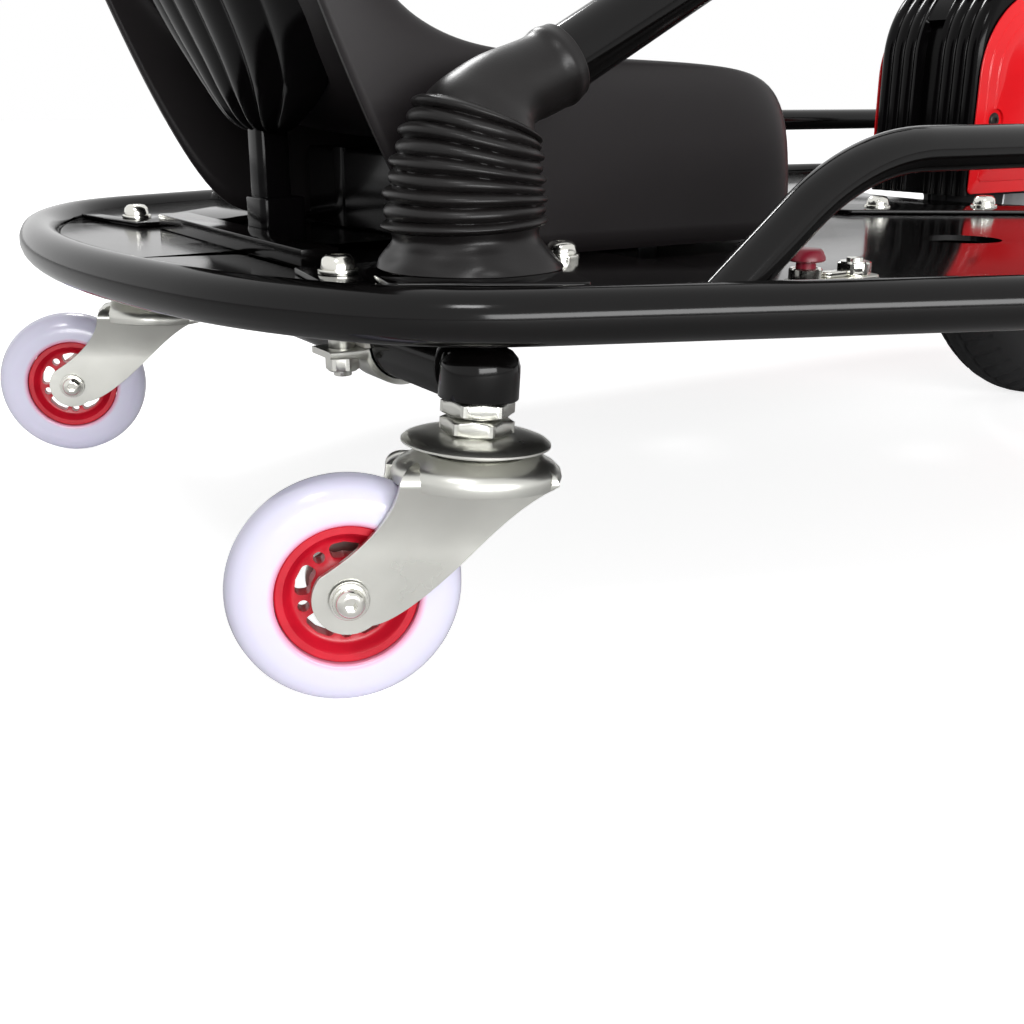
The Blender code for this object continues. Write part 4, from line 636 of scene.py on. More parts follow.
class Draft:
    """Surfaces gathered for one piece, in millimetres."""

    def __init__(self) -> None:
        """Start with nothing."""
        self.points: list[np.ndarray] = []
        self.faces: list[list[int]] = []
        self.total = 0

    def grid(self, points: np.ndarray, wrap: bool = True, loop: bool = False, caps: bool = True) -> Draft:
        """Add a grid of points as quads.

        Args:
            points: rows by columns by three.
            wrap: whether the last column joins the first.
            loop: whether the last row joins the first.
            caps: whether the first and last rows are closed by a face each.

        Returns:
            This draft.
        """
        rows, columns = points.shape[:2]
        index = np.arange(rows * columns).reshape(rows, columns) + self.total
        self.points.append(points.reshape(-1, 3))
        self.total += rows * columns
        if caps and wrap and not loop:
            self.faces += [index[0].tolist(), index[-1].tolist()]
        if loop:
            index = np.vstack([index, index[:1]])
        if wrap:
            index = np.hstack([index, index[:, :1]])
        quads = np.stack([index[:-1, :-1], index[1:, :-1], index[1:, 1:], index[:-1, 1:]], axis=-1)
        self.faces += quads.reshape(-1, 4).tolist()
        return self

    def carried(self, place: Callable[[np.ndarray], np.ndarray]) -> Draft:
        """This draft, with the points that it has so far carried by a placing function."""
        self.points = [place(points) for points in self.points]
        return self

    def bolt(self, seat: Sequence, radius: float, height: float, axis: Sequence = UP) -> Draft:
        """Add a domed bolt head with a flange and a six sided socket.

        Args:
            seat: where the flange's underside rests.
            radius: the flange's radius.
            height: the head's height.
            axis: the way that the head points.

        Returns:
            This draft.
        """
        shares = ((0.0, 0.42), (0.36, 0.42), (0.36, 0.97), (0.45, 1.0), (0.6, 0.95), (0.78, 0.75),
                  (0.84, 0.45), (0.86, 0.28), (0.98, 0.24), (1.0, 0.16), (1.0, 0.0), (0.0, 0.0))
        flats = (1.0, 1.0, 1.0, 0.4) + (0.0,) * 8
        return self.grid(revolve(np.array(shares) * (radius, height), seat, axis, 48, flats))

    def nut(self, low: Sequence, height: float, radius: float, axis: Sequence = UP) -> Draft:
        """Add a six sided nut with chamfered corners.

        Args:
            low: where its underside rests.
            height: its height.
            radius: the radius to its corners.
            axis: the way that it points.

        Returns:
            This draft.
        """
        flat, shoulder, lip = radius * 0.84, radius * 0.9, radius * 0.1
        profile = ((0.0, height), (flat, height), (shoulder, height - lip * 0.4), (radius, height - lip),
                   (radius, lip), (shoulder, lip * 0.4), (flat, 0.0), (0.0, 0.0))
        return self.grid(revolve(profile, low, axis, 72, (0.0, 0.0, 0.55, 1.0, 1.0, 0.55, 0.0, 0.0)))

    def washer(self, seat: Sequence, radius: float, height: float, axis: Sequence) -> Draft:
        """Add a disc whose underside rests on a seat, with a softened outer edge."""
        profile = ((0.0, height), (radius - 0.4, height), (radius, height - 0.4), (radius, 0.0), (0.0, 0.0))
        return self.grid(revolve(profile, seat, axis))

    def rod(self, start: Sequence, end: Sequence, radius: float, edge: float = 0.4, sides: int = 40) -> Draft:
        """Add a straight round bar with softened ends.

        Args:
            start: the middle of one end.
            end: the middle of the other.
            radius: the bar's radius.
            edge: how far the ends are softened.
            sides: points round it.

        Returns:
            This draft.
        """
        start, end = np.asarray(start, float), np.asarray(end, float)
        length, soft = float(np.linalg.norm(end - start)), edge * 0.3
        profile = ((0.0, 0.0), (radius - edge, 0.0), (radius - soft, soft), (radius, edge),
                   (radius, length - edge), (radius - soft, length - soft), (radius - edge, length),
                   (0.0, length))
        return self.grid(revolve(profile, start, end - start, sides))

    def box(self, low: Sequence, high: Sequence, edge: float = 1.0, corner: float = 1.5) -> Draft:
        """Add a block from a low to a high corner; edge rounds its faces, corner its upright corners."""
        return self.grid(slab(rectangle(low[:2], high[:2], corner, 4), low[2], high[2], edge))

    def yoke(self, turn: np.ndarray, centre: Sequence, pin: np.ndarray, back: np.ndarray) -> Draft:
        """Add a joint yoke's two arms, each a bar that ends in a round ear.

        Args:
            turn: the rotation from the yoke's own frame to the kart's.
            centre: the joint's centre.
            pin: the direction of the ears' pins, in the yoke's own frame.
            back: the direction from the joint to the yoke's shaft, in that frame.

        Returns:
            This draft.
        """
        ear, half, root, thick, apart = 5.4, 4.5, -18.0, 1.9, 11.5
        aside = np.cross(pin, back)
        arc = np.linspace(0.0, math.pi, 24)
        outline = np.stack([ear * np.cos(arc), ear * np.sin(arc)], axis=1)
        outline = np.vstack([outline, [(-half, -6.0), (-half, root), (half, root), (half, -6.0)]])
        for sign in (1, -1):
            plate = slab(outline, -thick, thick, 0.5)
            local = plate[..., :1] * aside - plate[..., 1:2] * back + (plate[..., 2:] + sign * apart) * pin
            self.grid(turned(local, turn, centre))
        return self

    def mesh(self, name: str) -> bpy.types.Mesh:
        """The draft in metres, its doubles merged and its faces turned outwards.

        Args:
            name: the mesh's name.

        Returns:
            The mesh.
        """
        mesh = bpy.data.meshes.new(name)
        mesh.from_pydata(in_frame(np.vstack(self.points)).tolist(), [], self.faces)
        work = bmesh.new()
        work.from_mesh(mesh)
        bmesh.ops.remove_doubles(work, verts=work.verts, dist=WELD)
        bmesh.ops.dissolve_degenerate(work, dist=SLIVER, edges=work.edges)
        bmesh.ops.recalc_face_normals(work, faces=work.faces)
        work.to_mesh(mesh)
        work.free()
        return mesh

    def solid(self, name: str) -> bpy.types.Object:
        """The draft as a plain object, for cutting others."""
        return linked(name, self.mesh(name))

    def piece(
        self,
        name: str,
        finish: Finish,
        body: str | None,
        replaces: Sequence[str] = (),
        holes: Sequence[Draft] = (),
        levels: int = 0,
        wall: float = 0.0,
        angle: float = 38.0,
        tone: Callable[[np.ndarray], np.ndarray] | None = None,
    ) -> bpy.types.Object:
        """Make the draft a finished piece that rides on a body of the frame.

        Args:
            name: the piece's name.
            finish: its finish.
            body: the body that it moves with, or None for a piece that rides on no body.
            replaces: the frame's nodes that it stands for.
            holes: shapes that are taken out of it.
            levels: subdivision levels.
            wall: the thickness that an open surface gets, inwards.
            angle: edges past this angle stay sharp.
            tone: gives the attribute depth from points.

        Returns:
            The piece's object.
        """
        made = self.solid(name)
        for hole in holes:
            cut_out(made, hole)
        if levels:
            smoother = made.modifiers.new("smooth", "SUBSURF")
            smoother.levels = smoother.render_levels = levels
        if wall:
            shell = made.modifiers.new("wall", "SOLIDIFY")
            shell.thickness, shell.offset = wall * MM, -1.0
        if tone:
            points = np.empty(len(made.data.vertices) * 3)
            made.data.vertices.foreach_get("co", points)
            points = points.reshape(-1, 3) / MM - np.array((STEM_X, 0.0, 0.0))
            layer = made.data.attributes.new("depth", "FLOAT", "POINT")
            layer.data.foreach_set("value", tone(points).astype(np.float32))
        made.data.materials.append(finish.material())
        made.data.shade_smooth()
        made.data.set_sharp_from_angle(angle=math.radians(angle))
        if body:
            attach(made, body)
        if replaces:
            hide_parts(*replaces)
        LOG.info("%s on %s, %d faces", name, body or "two bodies", len(made.data.polygons))
        return made


def cut_out(target: bpy.types.Object, hole: Draft) -> None:
    """Take a draft's shape out of an object's mesh.

    Args:
        target: the object that is cut.
        hole: the shape that is taken out.
    """
    tool = hole.solid(target.name + "_hole")
    change = target.modifiers.new("hole", "BOOLEAN")
    change.operation, change.solver, change.object = "DIFFERENCE", "EXACT", tool
    bpy.context.view_layer.update()
    seen = target.evaluated_get(bpy.context.evaluated_depsgraph_get())
    mesh = bpy.data.meshes.new_from_object(seen)
    target.modifiers.remove(change)
    target.data = mesh
    bpy.data.objects.remove(tool, do_unlink=True)


def plug(
    radius: float, low: float, high: float, centre: Sequence, axis: Sequence = UP, sides: int = 48
) -> Draft:
    """A plain round bar between two heights over a centre, as the shape that is taken out."""
    profile = ((0.0, low), (radius, low), (radius, high), (0.0, high))
    return Draft().grid(revolve(profile, centre, axis, sides))


@dataclass
class Perimeter:
    """The bent perimeter tube, whose half path other pieces follow."""

    radius: float = 11.1
    height: float = 163.0
    rear_reach: float = 106.0
    rear_bends: tuple = ((560.0, 14.5), (285.0, 18.0), (117.0, 35.9))
    side_bend: float = 140.0
    front_bend: float = 235.0
    front_angle: float = 75.0
    half_width: float = 349.0
    nose_x: float = 941.8
    step: float = 2.5

    def half(self, inset: float = 0.0) -> np.ndarray:
        """The right half of the centre line, from the rear to the nose, moved inwards.

        Each bend is a circle about a centre to the path's left; each run is straight.

        Args:
            inset: how far inwards.

        Returns:
            Points in X and Y.
        """
        splay = 90.0 - sum(angle for _, angle in self.rear_bends)
        rear = self._turns((-self.rear_reach, 0.0), self.rear_bends)[-1]
        lean, corner = math.radians(splay), math.radians(self.front_angle)
        run = (self.half_width - self.side_bend * (1 - math.cos(lean)) + rear[1]) / math.sin(lean)
        nose = (self.half_width - self.front_bend * (1 - math.cos(corner))) / math.cos(corner)
        side_start = rear[0] + run * math.cos(lean) + self.side_bend * math.sin(lean)
        bend_start = self.nose_x - self.front_bend * math.sin(corner) - nose * (1 - math.sin(corner))
        side_run = bend_start - side_start
        moves = [(radius - inset, angle) for radius, angle in self.rear_bends]
        moves += [(run, 0.0), (self.side_bend - inset, splay), (side_run, 0.0)]
        moves += [(self.front_bend - inset, self.front_angle), (nose - inset, 90.0 - self.front_angle)]
        return self._turns((-self.rear_reach + inset, 0.0), moves)

    def _turns(self, start: tuple, moves: Sequence) -> np.ndarray:
        """Points along runs and left turns, heading to -Y at first.

        Args:
            start: the first point.
            moves: a run's length and 0, or a turn's radius and its degrees, in order.

        Returns:
            Points in X and Y, a step of degrees apart on the turns.
        """
        place, heading = np.array(start), -math.pi / 2
        points = [place[None]]
        for size, angle in moves:
            if not angle:
                place = place + size * np.array((math.cos(heading), math.sin(heading)))
                points.append(place[None])
                continue
            centre = place + size * np.array((-math.sin(heading), math.cos(heading)))
            count = max(2, round(angle / self.step))
            turn = heading + math.radians(angle) * np.arange(1, count + 1) / count
            arc = centre + size * np.stack([np.sin(turn), -np.cos(turn)], axis=1)
            points.append(arc)
            place, heading = arc[-1], heading + math.radians(angle)
        return np.vstack(points)

    def ring(self, inset: float = 0.0) -> np.ndarray:
        """The whole closed path, moved inwards."""
        half = self.half(inset)
        return np.vstack([half, mirrored(half)[::-1][1:-1]])

    def y_at(self, along: float) -> float:
        """How far out the centre line is at a place along the kart."""
        half = self.half()
        return float(np.interp(along, half[:, 0], -half[:, 1]))

    def build(self) -> None:
        """Make the tube as one smooth loop."""
        ring = self.ring()
        path = np.column_stack([ring, np.full(len(ring), self.height)])
        tube = Draft().grid(sweep(path, self.radius, UP, 48, True), loop=True)
        tube.piece("perimeter_tube", GLOSS_BLACK, "chassis", ("frame_rear_loop", "frame_front_loop"))


@dataclass
class Deck:
    """The floor plate, what is laid and bolted on it, the tubes under it, and the side rails."""

    perimeter: Perimeter
    floor_low: float = 162.0
    floor_top: float = 165.0
    plate_top: float = 168.0
    edge: float = 0.7
    opening: float = 188.0
    hand_hole: float = 22.0
    ring_inner: float = 175.0
    ring_outer: float = 196.0
    tail_end: tuple = (402.0, 40.0)
    tail_root: tuple = (470.0, 62.0)
    tube_z: float = 150.5
    rear_tube_x: float = 45.0
    rear_tube_reach: float = 214.0
    mid_tube_x: float = 478.0
    inner_rail_y: float = 152.0
    plate_rear: float = -48.0
    plate_front: float = 118.0
    plate_inner: float = 124.0
    rail_y: float = 286.0
    rail_z: float = 220.0
    rail_radius: float = 9.5
    rail_start: float = 75.0
    rail_rise: float = 38.0
    rail_fall: float = 60.0

    def build(self) -> None:
        """Make every piece of the deck."""
        self.floor_plate()
        self.ring_plate()
        self.under_tubes()
        for side in Side:
            self.side_plate(side)
            self.side_rail(side)
        self.ring_bolts()

    @staticmethod
    def bore(along: float, across: float, radius: float) -> Draft:
        """An upright round hole through the plates, as the shape that is taken out."""
        return plug(radius, 155.0, 175.0, (along, across, 0.0), UP, 96)

    @staticmethod
    def lever_slot() -> Draft:
        """The slot that the lever passes through and swings back in, as the shape that is taken out."""
        half = 16.3
        outline = rectangle((-24.0, -BAR_Y - half), (34.0, -BAR_Y + half), 10.0, 8)
        return Draft().grid(slab(outline, 155.0, 180.0, 0.05))

    def floor_plate(self) -> None:
        """The floor plate inside the tube, with its wheel hole, rear openings, round holes and slot."""
        outline = self.perimeter.ring(self.perimeter.radius + GAP)
        notch = np.array(((-29, 40), (-83, 26), (-140, 12), (-140, 210), (-64, 172), (-28, 130)), float)
        notch = rounded(notch, (5.0, 0.0, 0.0, 0.0, 0.0, 5.0), 5, True)
        holes = [self.bore(DRIVE_X, 0.0, self.opening), self.lever_slot()]
        for side in Side:
            holes.append(Draft().grid(slab(side.carry(notch), 155.0, 175.0, 0.05)))
            holes.append(self.bore(340.0, side.value * 184.0, self.hand_hole))
            holes.append(self.bore(STRAP_BOLT_X, side.value * STRAP_Y, 5.0))
        plate = Draft().grid(slab(outline, self.floor_low, self.floor_top, 0.5))
        plate.piece("floor_plate", GLOSS_BLACK, "chassis", ("deck_plate",), holes=holes)

    def ring_plate(self) -> None:
        """The plate that laps the wheel hole: a ring that runs out to a blunt point behind.

        The ring ends where a line from the tail's corner touches it: at that corner's angle, less
        the angle whose cosine is the ring's radius over the corner's distance.
        """
        back, half = self.tail_end[0] - DRIVE_X, self.tail_end[1]
        turn = math.atan2(half, back) - math.acos(self.ring_outer / math.hypot(back, half))
        arc = np.linspace(-turn, turn, 90)
        ring = np.stack([DRIVE_X + self.ring_outer * np.cos(arc), self.ring_outer * np.sin(arc)], axis=1)
        corners = both_halves((self.tail_root, self.tail_end), False)
        tail = rounded(corners, 9.0, 6)[1:-1]
        plate = Draft().grid(slab(np.vstack([tail, ring]), DECK_TOP, self.plate_top, self.edge))
        hole = [self.bore(DRIVE_X, 0.0, self.ring_inner)]
        plate.piece("ring_plate_pressed", GLOSS_BLACK, "chassis", ("drive_ring_plate",), holes=hole)

    def under_tubes(self) -> None:
        """The straight tubes under the floor plate: two across, and two rails between them."""
        radius, rear, middle = self.perimeter.radius, self.rear_tube_x, self.mid_tube_x
        reach = self.perimeter.y_at(middle) - radius * 0.45
        runs = [
            ("rear_cross_tube", (rear, -self.rear_tube_reach), (rear, self.rear_tube_reach)),
            ("mid_cross_tube", (middle, -reach), (middle, reach)),
        ]
        for side in Side:
            across, inside = side.value * self.inner_rail_y, radius * 0.6
            runs.append((f"inner_rail_{side.word}", (rear + inside, across), (middle - inside, across)))
        for name, start, end in runs:
            tube = Draft().rod((*start, self.tube_z), (*end, self.tube_z), radius)
            tube.piece(name + "_smooth", GLOSS_BLACK, "chassis", (name,))

    def side_plate(self, side: Side) -> None:
        """One rear side plate with rounded edges, and its front bolt.

        Args:
            side: the side that it lies on.
        """
        half = self.perimeter.half(self.perimeter.radius + 1.5)
        inside = (half[:, 0] > self.plate_rear) & (half[:, 0] < self.plate_front) & (half[:, 1] < -60)
        ends = [(x, np.interp(x, half[:, 0], half[:, 1])) for x in (self.plate_rear, self.plate_front)]
        corners = [(self.plate_front, -self.plate_inner), (self.plate_rear + 14.0, -self.plate_inner)]
        outline = np.vstack([ends[0], half[inside], ends[1], corners])
        outline = outline if side is Side.RIGHT else mirrored(outline)
        holes = [self.bore(STRAP_BOLT_X, side.value * STRAP_Y, 5.0)]
        if side is Side.RIGHT:
            holes.append(self.lever_slot())
        plate = Draft().grid(slab(outline, DECK_TOP, self.plate_top, self.edge))
        name = f"side_plate_{side.word}"
        plate.piece(name + "_pressed", GLOSS_BLACK, "chassis", (name,), holes=holes)
        bolt = Draft().bolt((88.0, side.value * 157.0, self.plate_top), 8.8, 8.0)
        bolt.piece(f"side_bolt_{side.word}", BRIGHT_ZINC, "chassis")

    def side_rail(self, side: Side) -> None:
        """One bent rail over the deck, with a weld bead round its rear foot.

        It rises from the deck, runs level, and falls to the perimeter tube in front.

        Args:
            side: the side that it stands on.
        """
        across, start, top = side.value * self.rail_y, self.rail_start, self.rail_z
        rise, fall = math.tan(math.radians(self.rail_rise)), math.tan(math.radians(self.rail_fall))
        half = self.perimeter.half()
        front = half[half[:, 0] > 600.0]
        foot = float(np.interp(self.rail_y, -front[::-1, 1], front[::-1, 0]))
        sunk = 10.0
        corners = (
            (start - sunk, across, self.floor_top - sunk * rise),
            (start + (top - self.floor_top) / rise, across, top),
            (foot - (top - self.perimeter.height) / fall, across, top),
            (foot - 4.0, across, 170.0),
        )
        path = rounded(corners, (0.0, 110.0, 40.0, 0.0), 14)
        rail = Draft().grid(sweep(path, self.rail_radius, LEFT, 48))
        floor = Draft().box((30.0, across - 30.0, 120.0), (150.0, across + 30.0, 168.1), 0.05, 1.0)
        name = f"side_rail_{side.word}"
        rail.piece(name + "_bent", GLOSS_BLACK, "chassis", (name,), holes=[floor])
        turn = round_turn(120)
        x, y = 84.5 + 15.0 * np.cos(turn), across + 10.2 * np.sin(turn)
        oval = np.stack([x, y, np.full(120, 169.3)], axis=1)
        bead = sweep(oval, 2.3 + 0.5 * np.sin(turn * 22), UP, 12, True)
        Draft().grid(bead, loop=True).piece(f"rail_weld_{side.word}", GLOSS_BLACK, "chassis")

    def ring_bolts(self) -> None:
        """The four domed bolts of the plate round the drive opening."""
        bolts = Draft()
        for along, across in ((432.0, 38.0), (498.0, 74.0)):
            for side in Side:
                bolts.bolt((along, side.value * across, self.plate_top), 8.9, 8.2)
        bolts.piece("ring_plate_bolts", BRIGHT_ZINC, "chassis")


@dataclass
class Seat:
    """The moulded bucket seat, its ribbed back, and what stands on the deck with it."""

    half_width: float = 150.0
    foot_half_width: float = 145.5
    front: float = 264.0
    wall: float = 4.0
    pack_rear: float = 72.0
    pack_front: float = 172.0
    pack_half: float = 112.0
    pack_top: float = 212.0
    case_rear: float = 184.0
    case_half: float = 60.0

    def build(self) -> None:
        """Make the seat and its fittings."""
        self.shell()
        self.back()
        self.fittings()

    def rows(self) -> np.ndarray:
        """The left half of the seat's surface.

        Returns:
            Rows round the free edge, each of five points from that edge to the bucket.
        """
        low, half, front, foot = PLATE_TOP, self.half_width, self.front, self.foot_half_width
        wide, lip, inside, bucket, wing = half + 1, half - 3, half - 18, half - 41, half - 24
        return np.array((
            ((front, 0, low), (front - 1, 0, 230), (front - 17, 0, 248), (front - 36, 0, 246),
             (front - 58, 0, 234)),
            ((front, 112, low), (front - 2, 112, 229), (front - 18, 109, 249), (front - 38, 104, 248),
             (front - 60, 98, 237)),
            ((front - 6, foot - 5, low), (front - 11, half - 8, 228), (front - 30, lip - 9, 250),
             (front - 50, inside - 8, 250), (front - 76, bucket - 3, 235)),
            ((front - 46, foot, low), (front - 48, half, 244), (front - 52, lip - 1, 258),
             (front - 64, inside + 1, 251), (front - 102, bucket, 232)),
            ((160, foot, low), (160, wide, 247), (160, lip, 261), (158, inside, 253), (128, bucket, 230)),
            ((110, foot, low), (110, wide, 248), (112, lip, 262), (112, inside, 253), (94, bucket + 1, 229)),
            ((62, foot, low), (70, wide, 250), (77, lip, 264), (78, inside - 1, 254), (62, bucket - 1, 230)),
            ((27, foot, low), (44, wide, 250), (53, lip, 266), (54, inside - 2, 257), (34, bucket - 3, 236)),
            ((-8, half, 232), (13, wide, 255), (29, lip, 272), (29, inside - 3, 265), (10, bucket - 5, 252)),
            ((-35, half, 297), (-14, wide, 292), (2, lip, 286), (0, inside - 4, 284), (-12, bucket - 6, 286)),
            ((-68, half, 385), (-52, wide, 366), (-36, lip - 1, 346), (-37, wing, 347),
             (-44, bucket - 7, 352)),
            ((-98, lip, 470), (-84, half - 1, 457), (-68, lip - 5, 440), (-68, wing - 4, 440),
             (-74, bucket - 10, 440)),
            ((-112, 118, 516), (-104, 118, 521), (-91, 114, 510), (-90, 100, 500), (-88, 88, 485)),
            ((-117, 0, 535), (-110, 0, 541), (-98, 0, 530), (-95, 0, 518), (-89, 0, 494)),
        ), float)

    def shell(self) -> None:
        """The thin shell, open behind and below, smoothed from its control rows by subdivision.

        Between the halves lies the bucket: its inner line carried to the other side in five
        shares, and sunk by 1 minus the square of the share, backwards above and down below.
        """
        rows = self.rows()
        draft = Draft().grid(rows, wrap=False).grid(mirrored(rows), wrap=False)
        inner = rows[1:-1, 4]
        share = np.array((1.0, 0.55, 0.0, -0.55, -1.0))
        depth = 8.0 * (1 - share**2)
        above = np.clip((70.0 - inner[:, 0]) / 90.0, 0.0, 1.0)
        bucket = np.repeat(inner[:, None], 5, axis=1)
        bucket[..., 1] *= share
        bucket[..., 0] -= depth * above[:, None]
        bucket[..., 2] -= depth * (1 - above[:, None])
        middle = np.abs(share) < 0.8
        bucket[0, middle] = self._between(rows[1, 4], rows[0, 4], share[middle])
        bucket[-1, middle] = self._between(rows[-2, 4], rows[-1, 4], share[middle])
        draft.grid(bucket, wrap=False)
        draft.piece("seat_shell", SEAT_SATIN, "chassis", ("seat",), levels=3, wall=self.wall, angle=60.0)

    @staticmethod
    def _between(edge: np.ndarray, middle: np.ndarray, share: np.ndarray) -> np.ndarray:
        """Points from an edge point through a middle point to the edge's mirror image.

        Args:
            edge: the point at share 1.
            middle: the point at share 0.
            share: how far out each point is, from -1 to 1.

        Returns:
            The middle plus the gap times the share's square, with Y straight in the share.
        """
        points = middle + (edge - middle) * (share**2)[:, None]
        points[:, 1] = edge[1] * share
        return points

    def back(self) -> None:
        """The bucket's ribbed back: ribs that run down and close in on its rounded foot.

        Its point is the middle line at a height, pushed forward with a power of the distance from
        the middle, and raised by a row of rounded ribs.
        """
        line = smooth_table(((10, 222), (-4, 226), (-14, 240), (-24, 262), (-38, 292), (-66, 352), (-98, 438),
                             (-112, 500)), 90)
        across = np.linspace(-1.0, 1.0, 181)[None, :]
        up = np.linspace(0.0, 1.0, 90)[:, None]
        spread = 10.0 + 92.0 * np.sin(np.minimum(1.0, up / 0.62) * math.pi / 2) ** 1.3
        rib = 2.6 * np.abs(np.cos(across * math.pi * 3.5)) ** 0.8 * np.minimum(1.0, 0.25 + up * 4)
        x = line[:, :1] + 26.0 * np.abs(across) ** 2.4 * np.minimum(1.0, up * 3) - rib
        points = np.stack([x, spread * across, line[:, 1:] - rib * 0.4], axis=-1)
        ribs = Draft().grid(points, wrap=False)
        ribs.piece("seat_back_ribs", BLACK_PLASTIC, "chassis", wall=2.4, angle=70.0)

    def fittings(self) -> None:
        """The post, the folded bracket behind, the battery pack and the motor controller."""
        post = Draft().box((-4, -9, PLATE_TOP), (14, 9, 228.0), 0.5, 4.0)
        post.box((-5.6, -13, DECK_TOP), (20, 13, 190.0), 1.5, 4.0)
        post.piece("seat_post_moulded", BLACK_PLASTIC, "chassis", ("seat_post",))
        corners = ((-25, DECK_TOP), (-9, DECK_TOP), (-9, 171.6), (-6, 171.6), (-6, 174.0), (-25, 174.0))
        bracket = Draft().grid(upright(slab(rounded(corners, 0.4, 3, True), -110.0, 110.0, 0.4)))
        bracket.piece("seat_bracket_folded", GLOSS_BLACK, "chassis", ("seat_bracket",))
        rear, front, half, top = self.pack_rear, self.pack_front, self.pack_half, self.pack_top
        pack = Draft().box((rear, -half, DECK_TOP), (front, half, top), 3.0, 6.0)
        proud = 0.8
        for across in (-60.0, 60.0):
            low = (rear - proud, across - 8, DECK_TOP + GAP)
            pack.box(low, (front + proud, across + 8, top + proud), proud, 3.0)
        pack.piece("battery_case", BLACK_PLASTIC, "chassis", ("battery_pack",))
        rear, half = self.case_rear, self.case_half
        case = Draft().box((rear, -half, DECK_TOP), (rear + 40, half, 188.2), 1.0, 3.0)
        for fin in range(8):
            along = rear + 1.2 + fin * 5.0
            case.box((along, 2 - half, 187.5), (along + 2.3, half - 2, 196.0), 0.8, 1.0)
        case.piece("controller_case", ALUMINIUM, "chassis", ("motor_controller",))


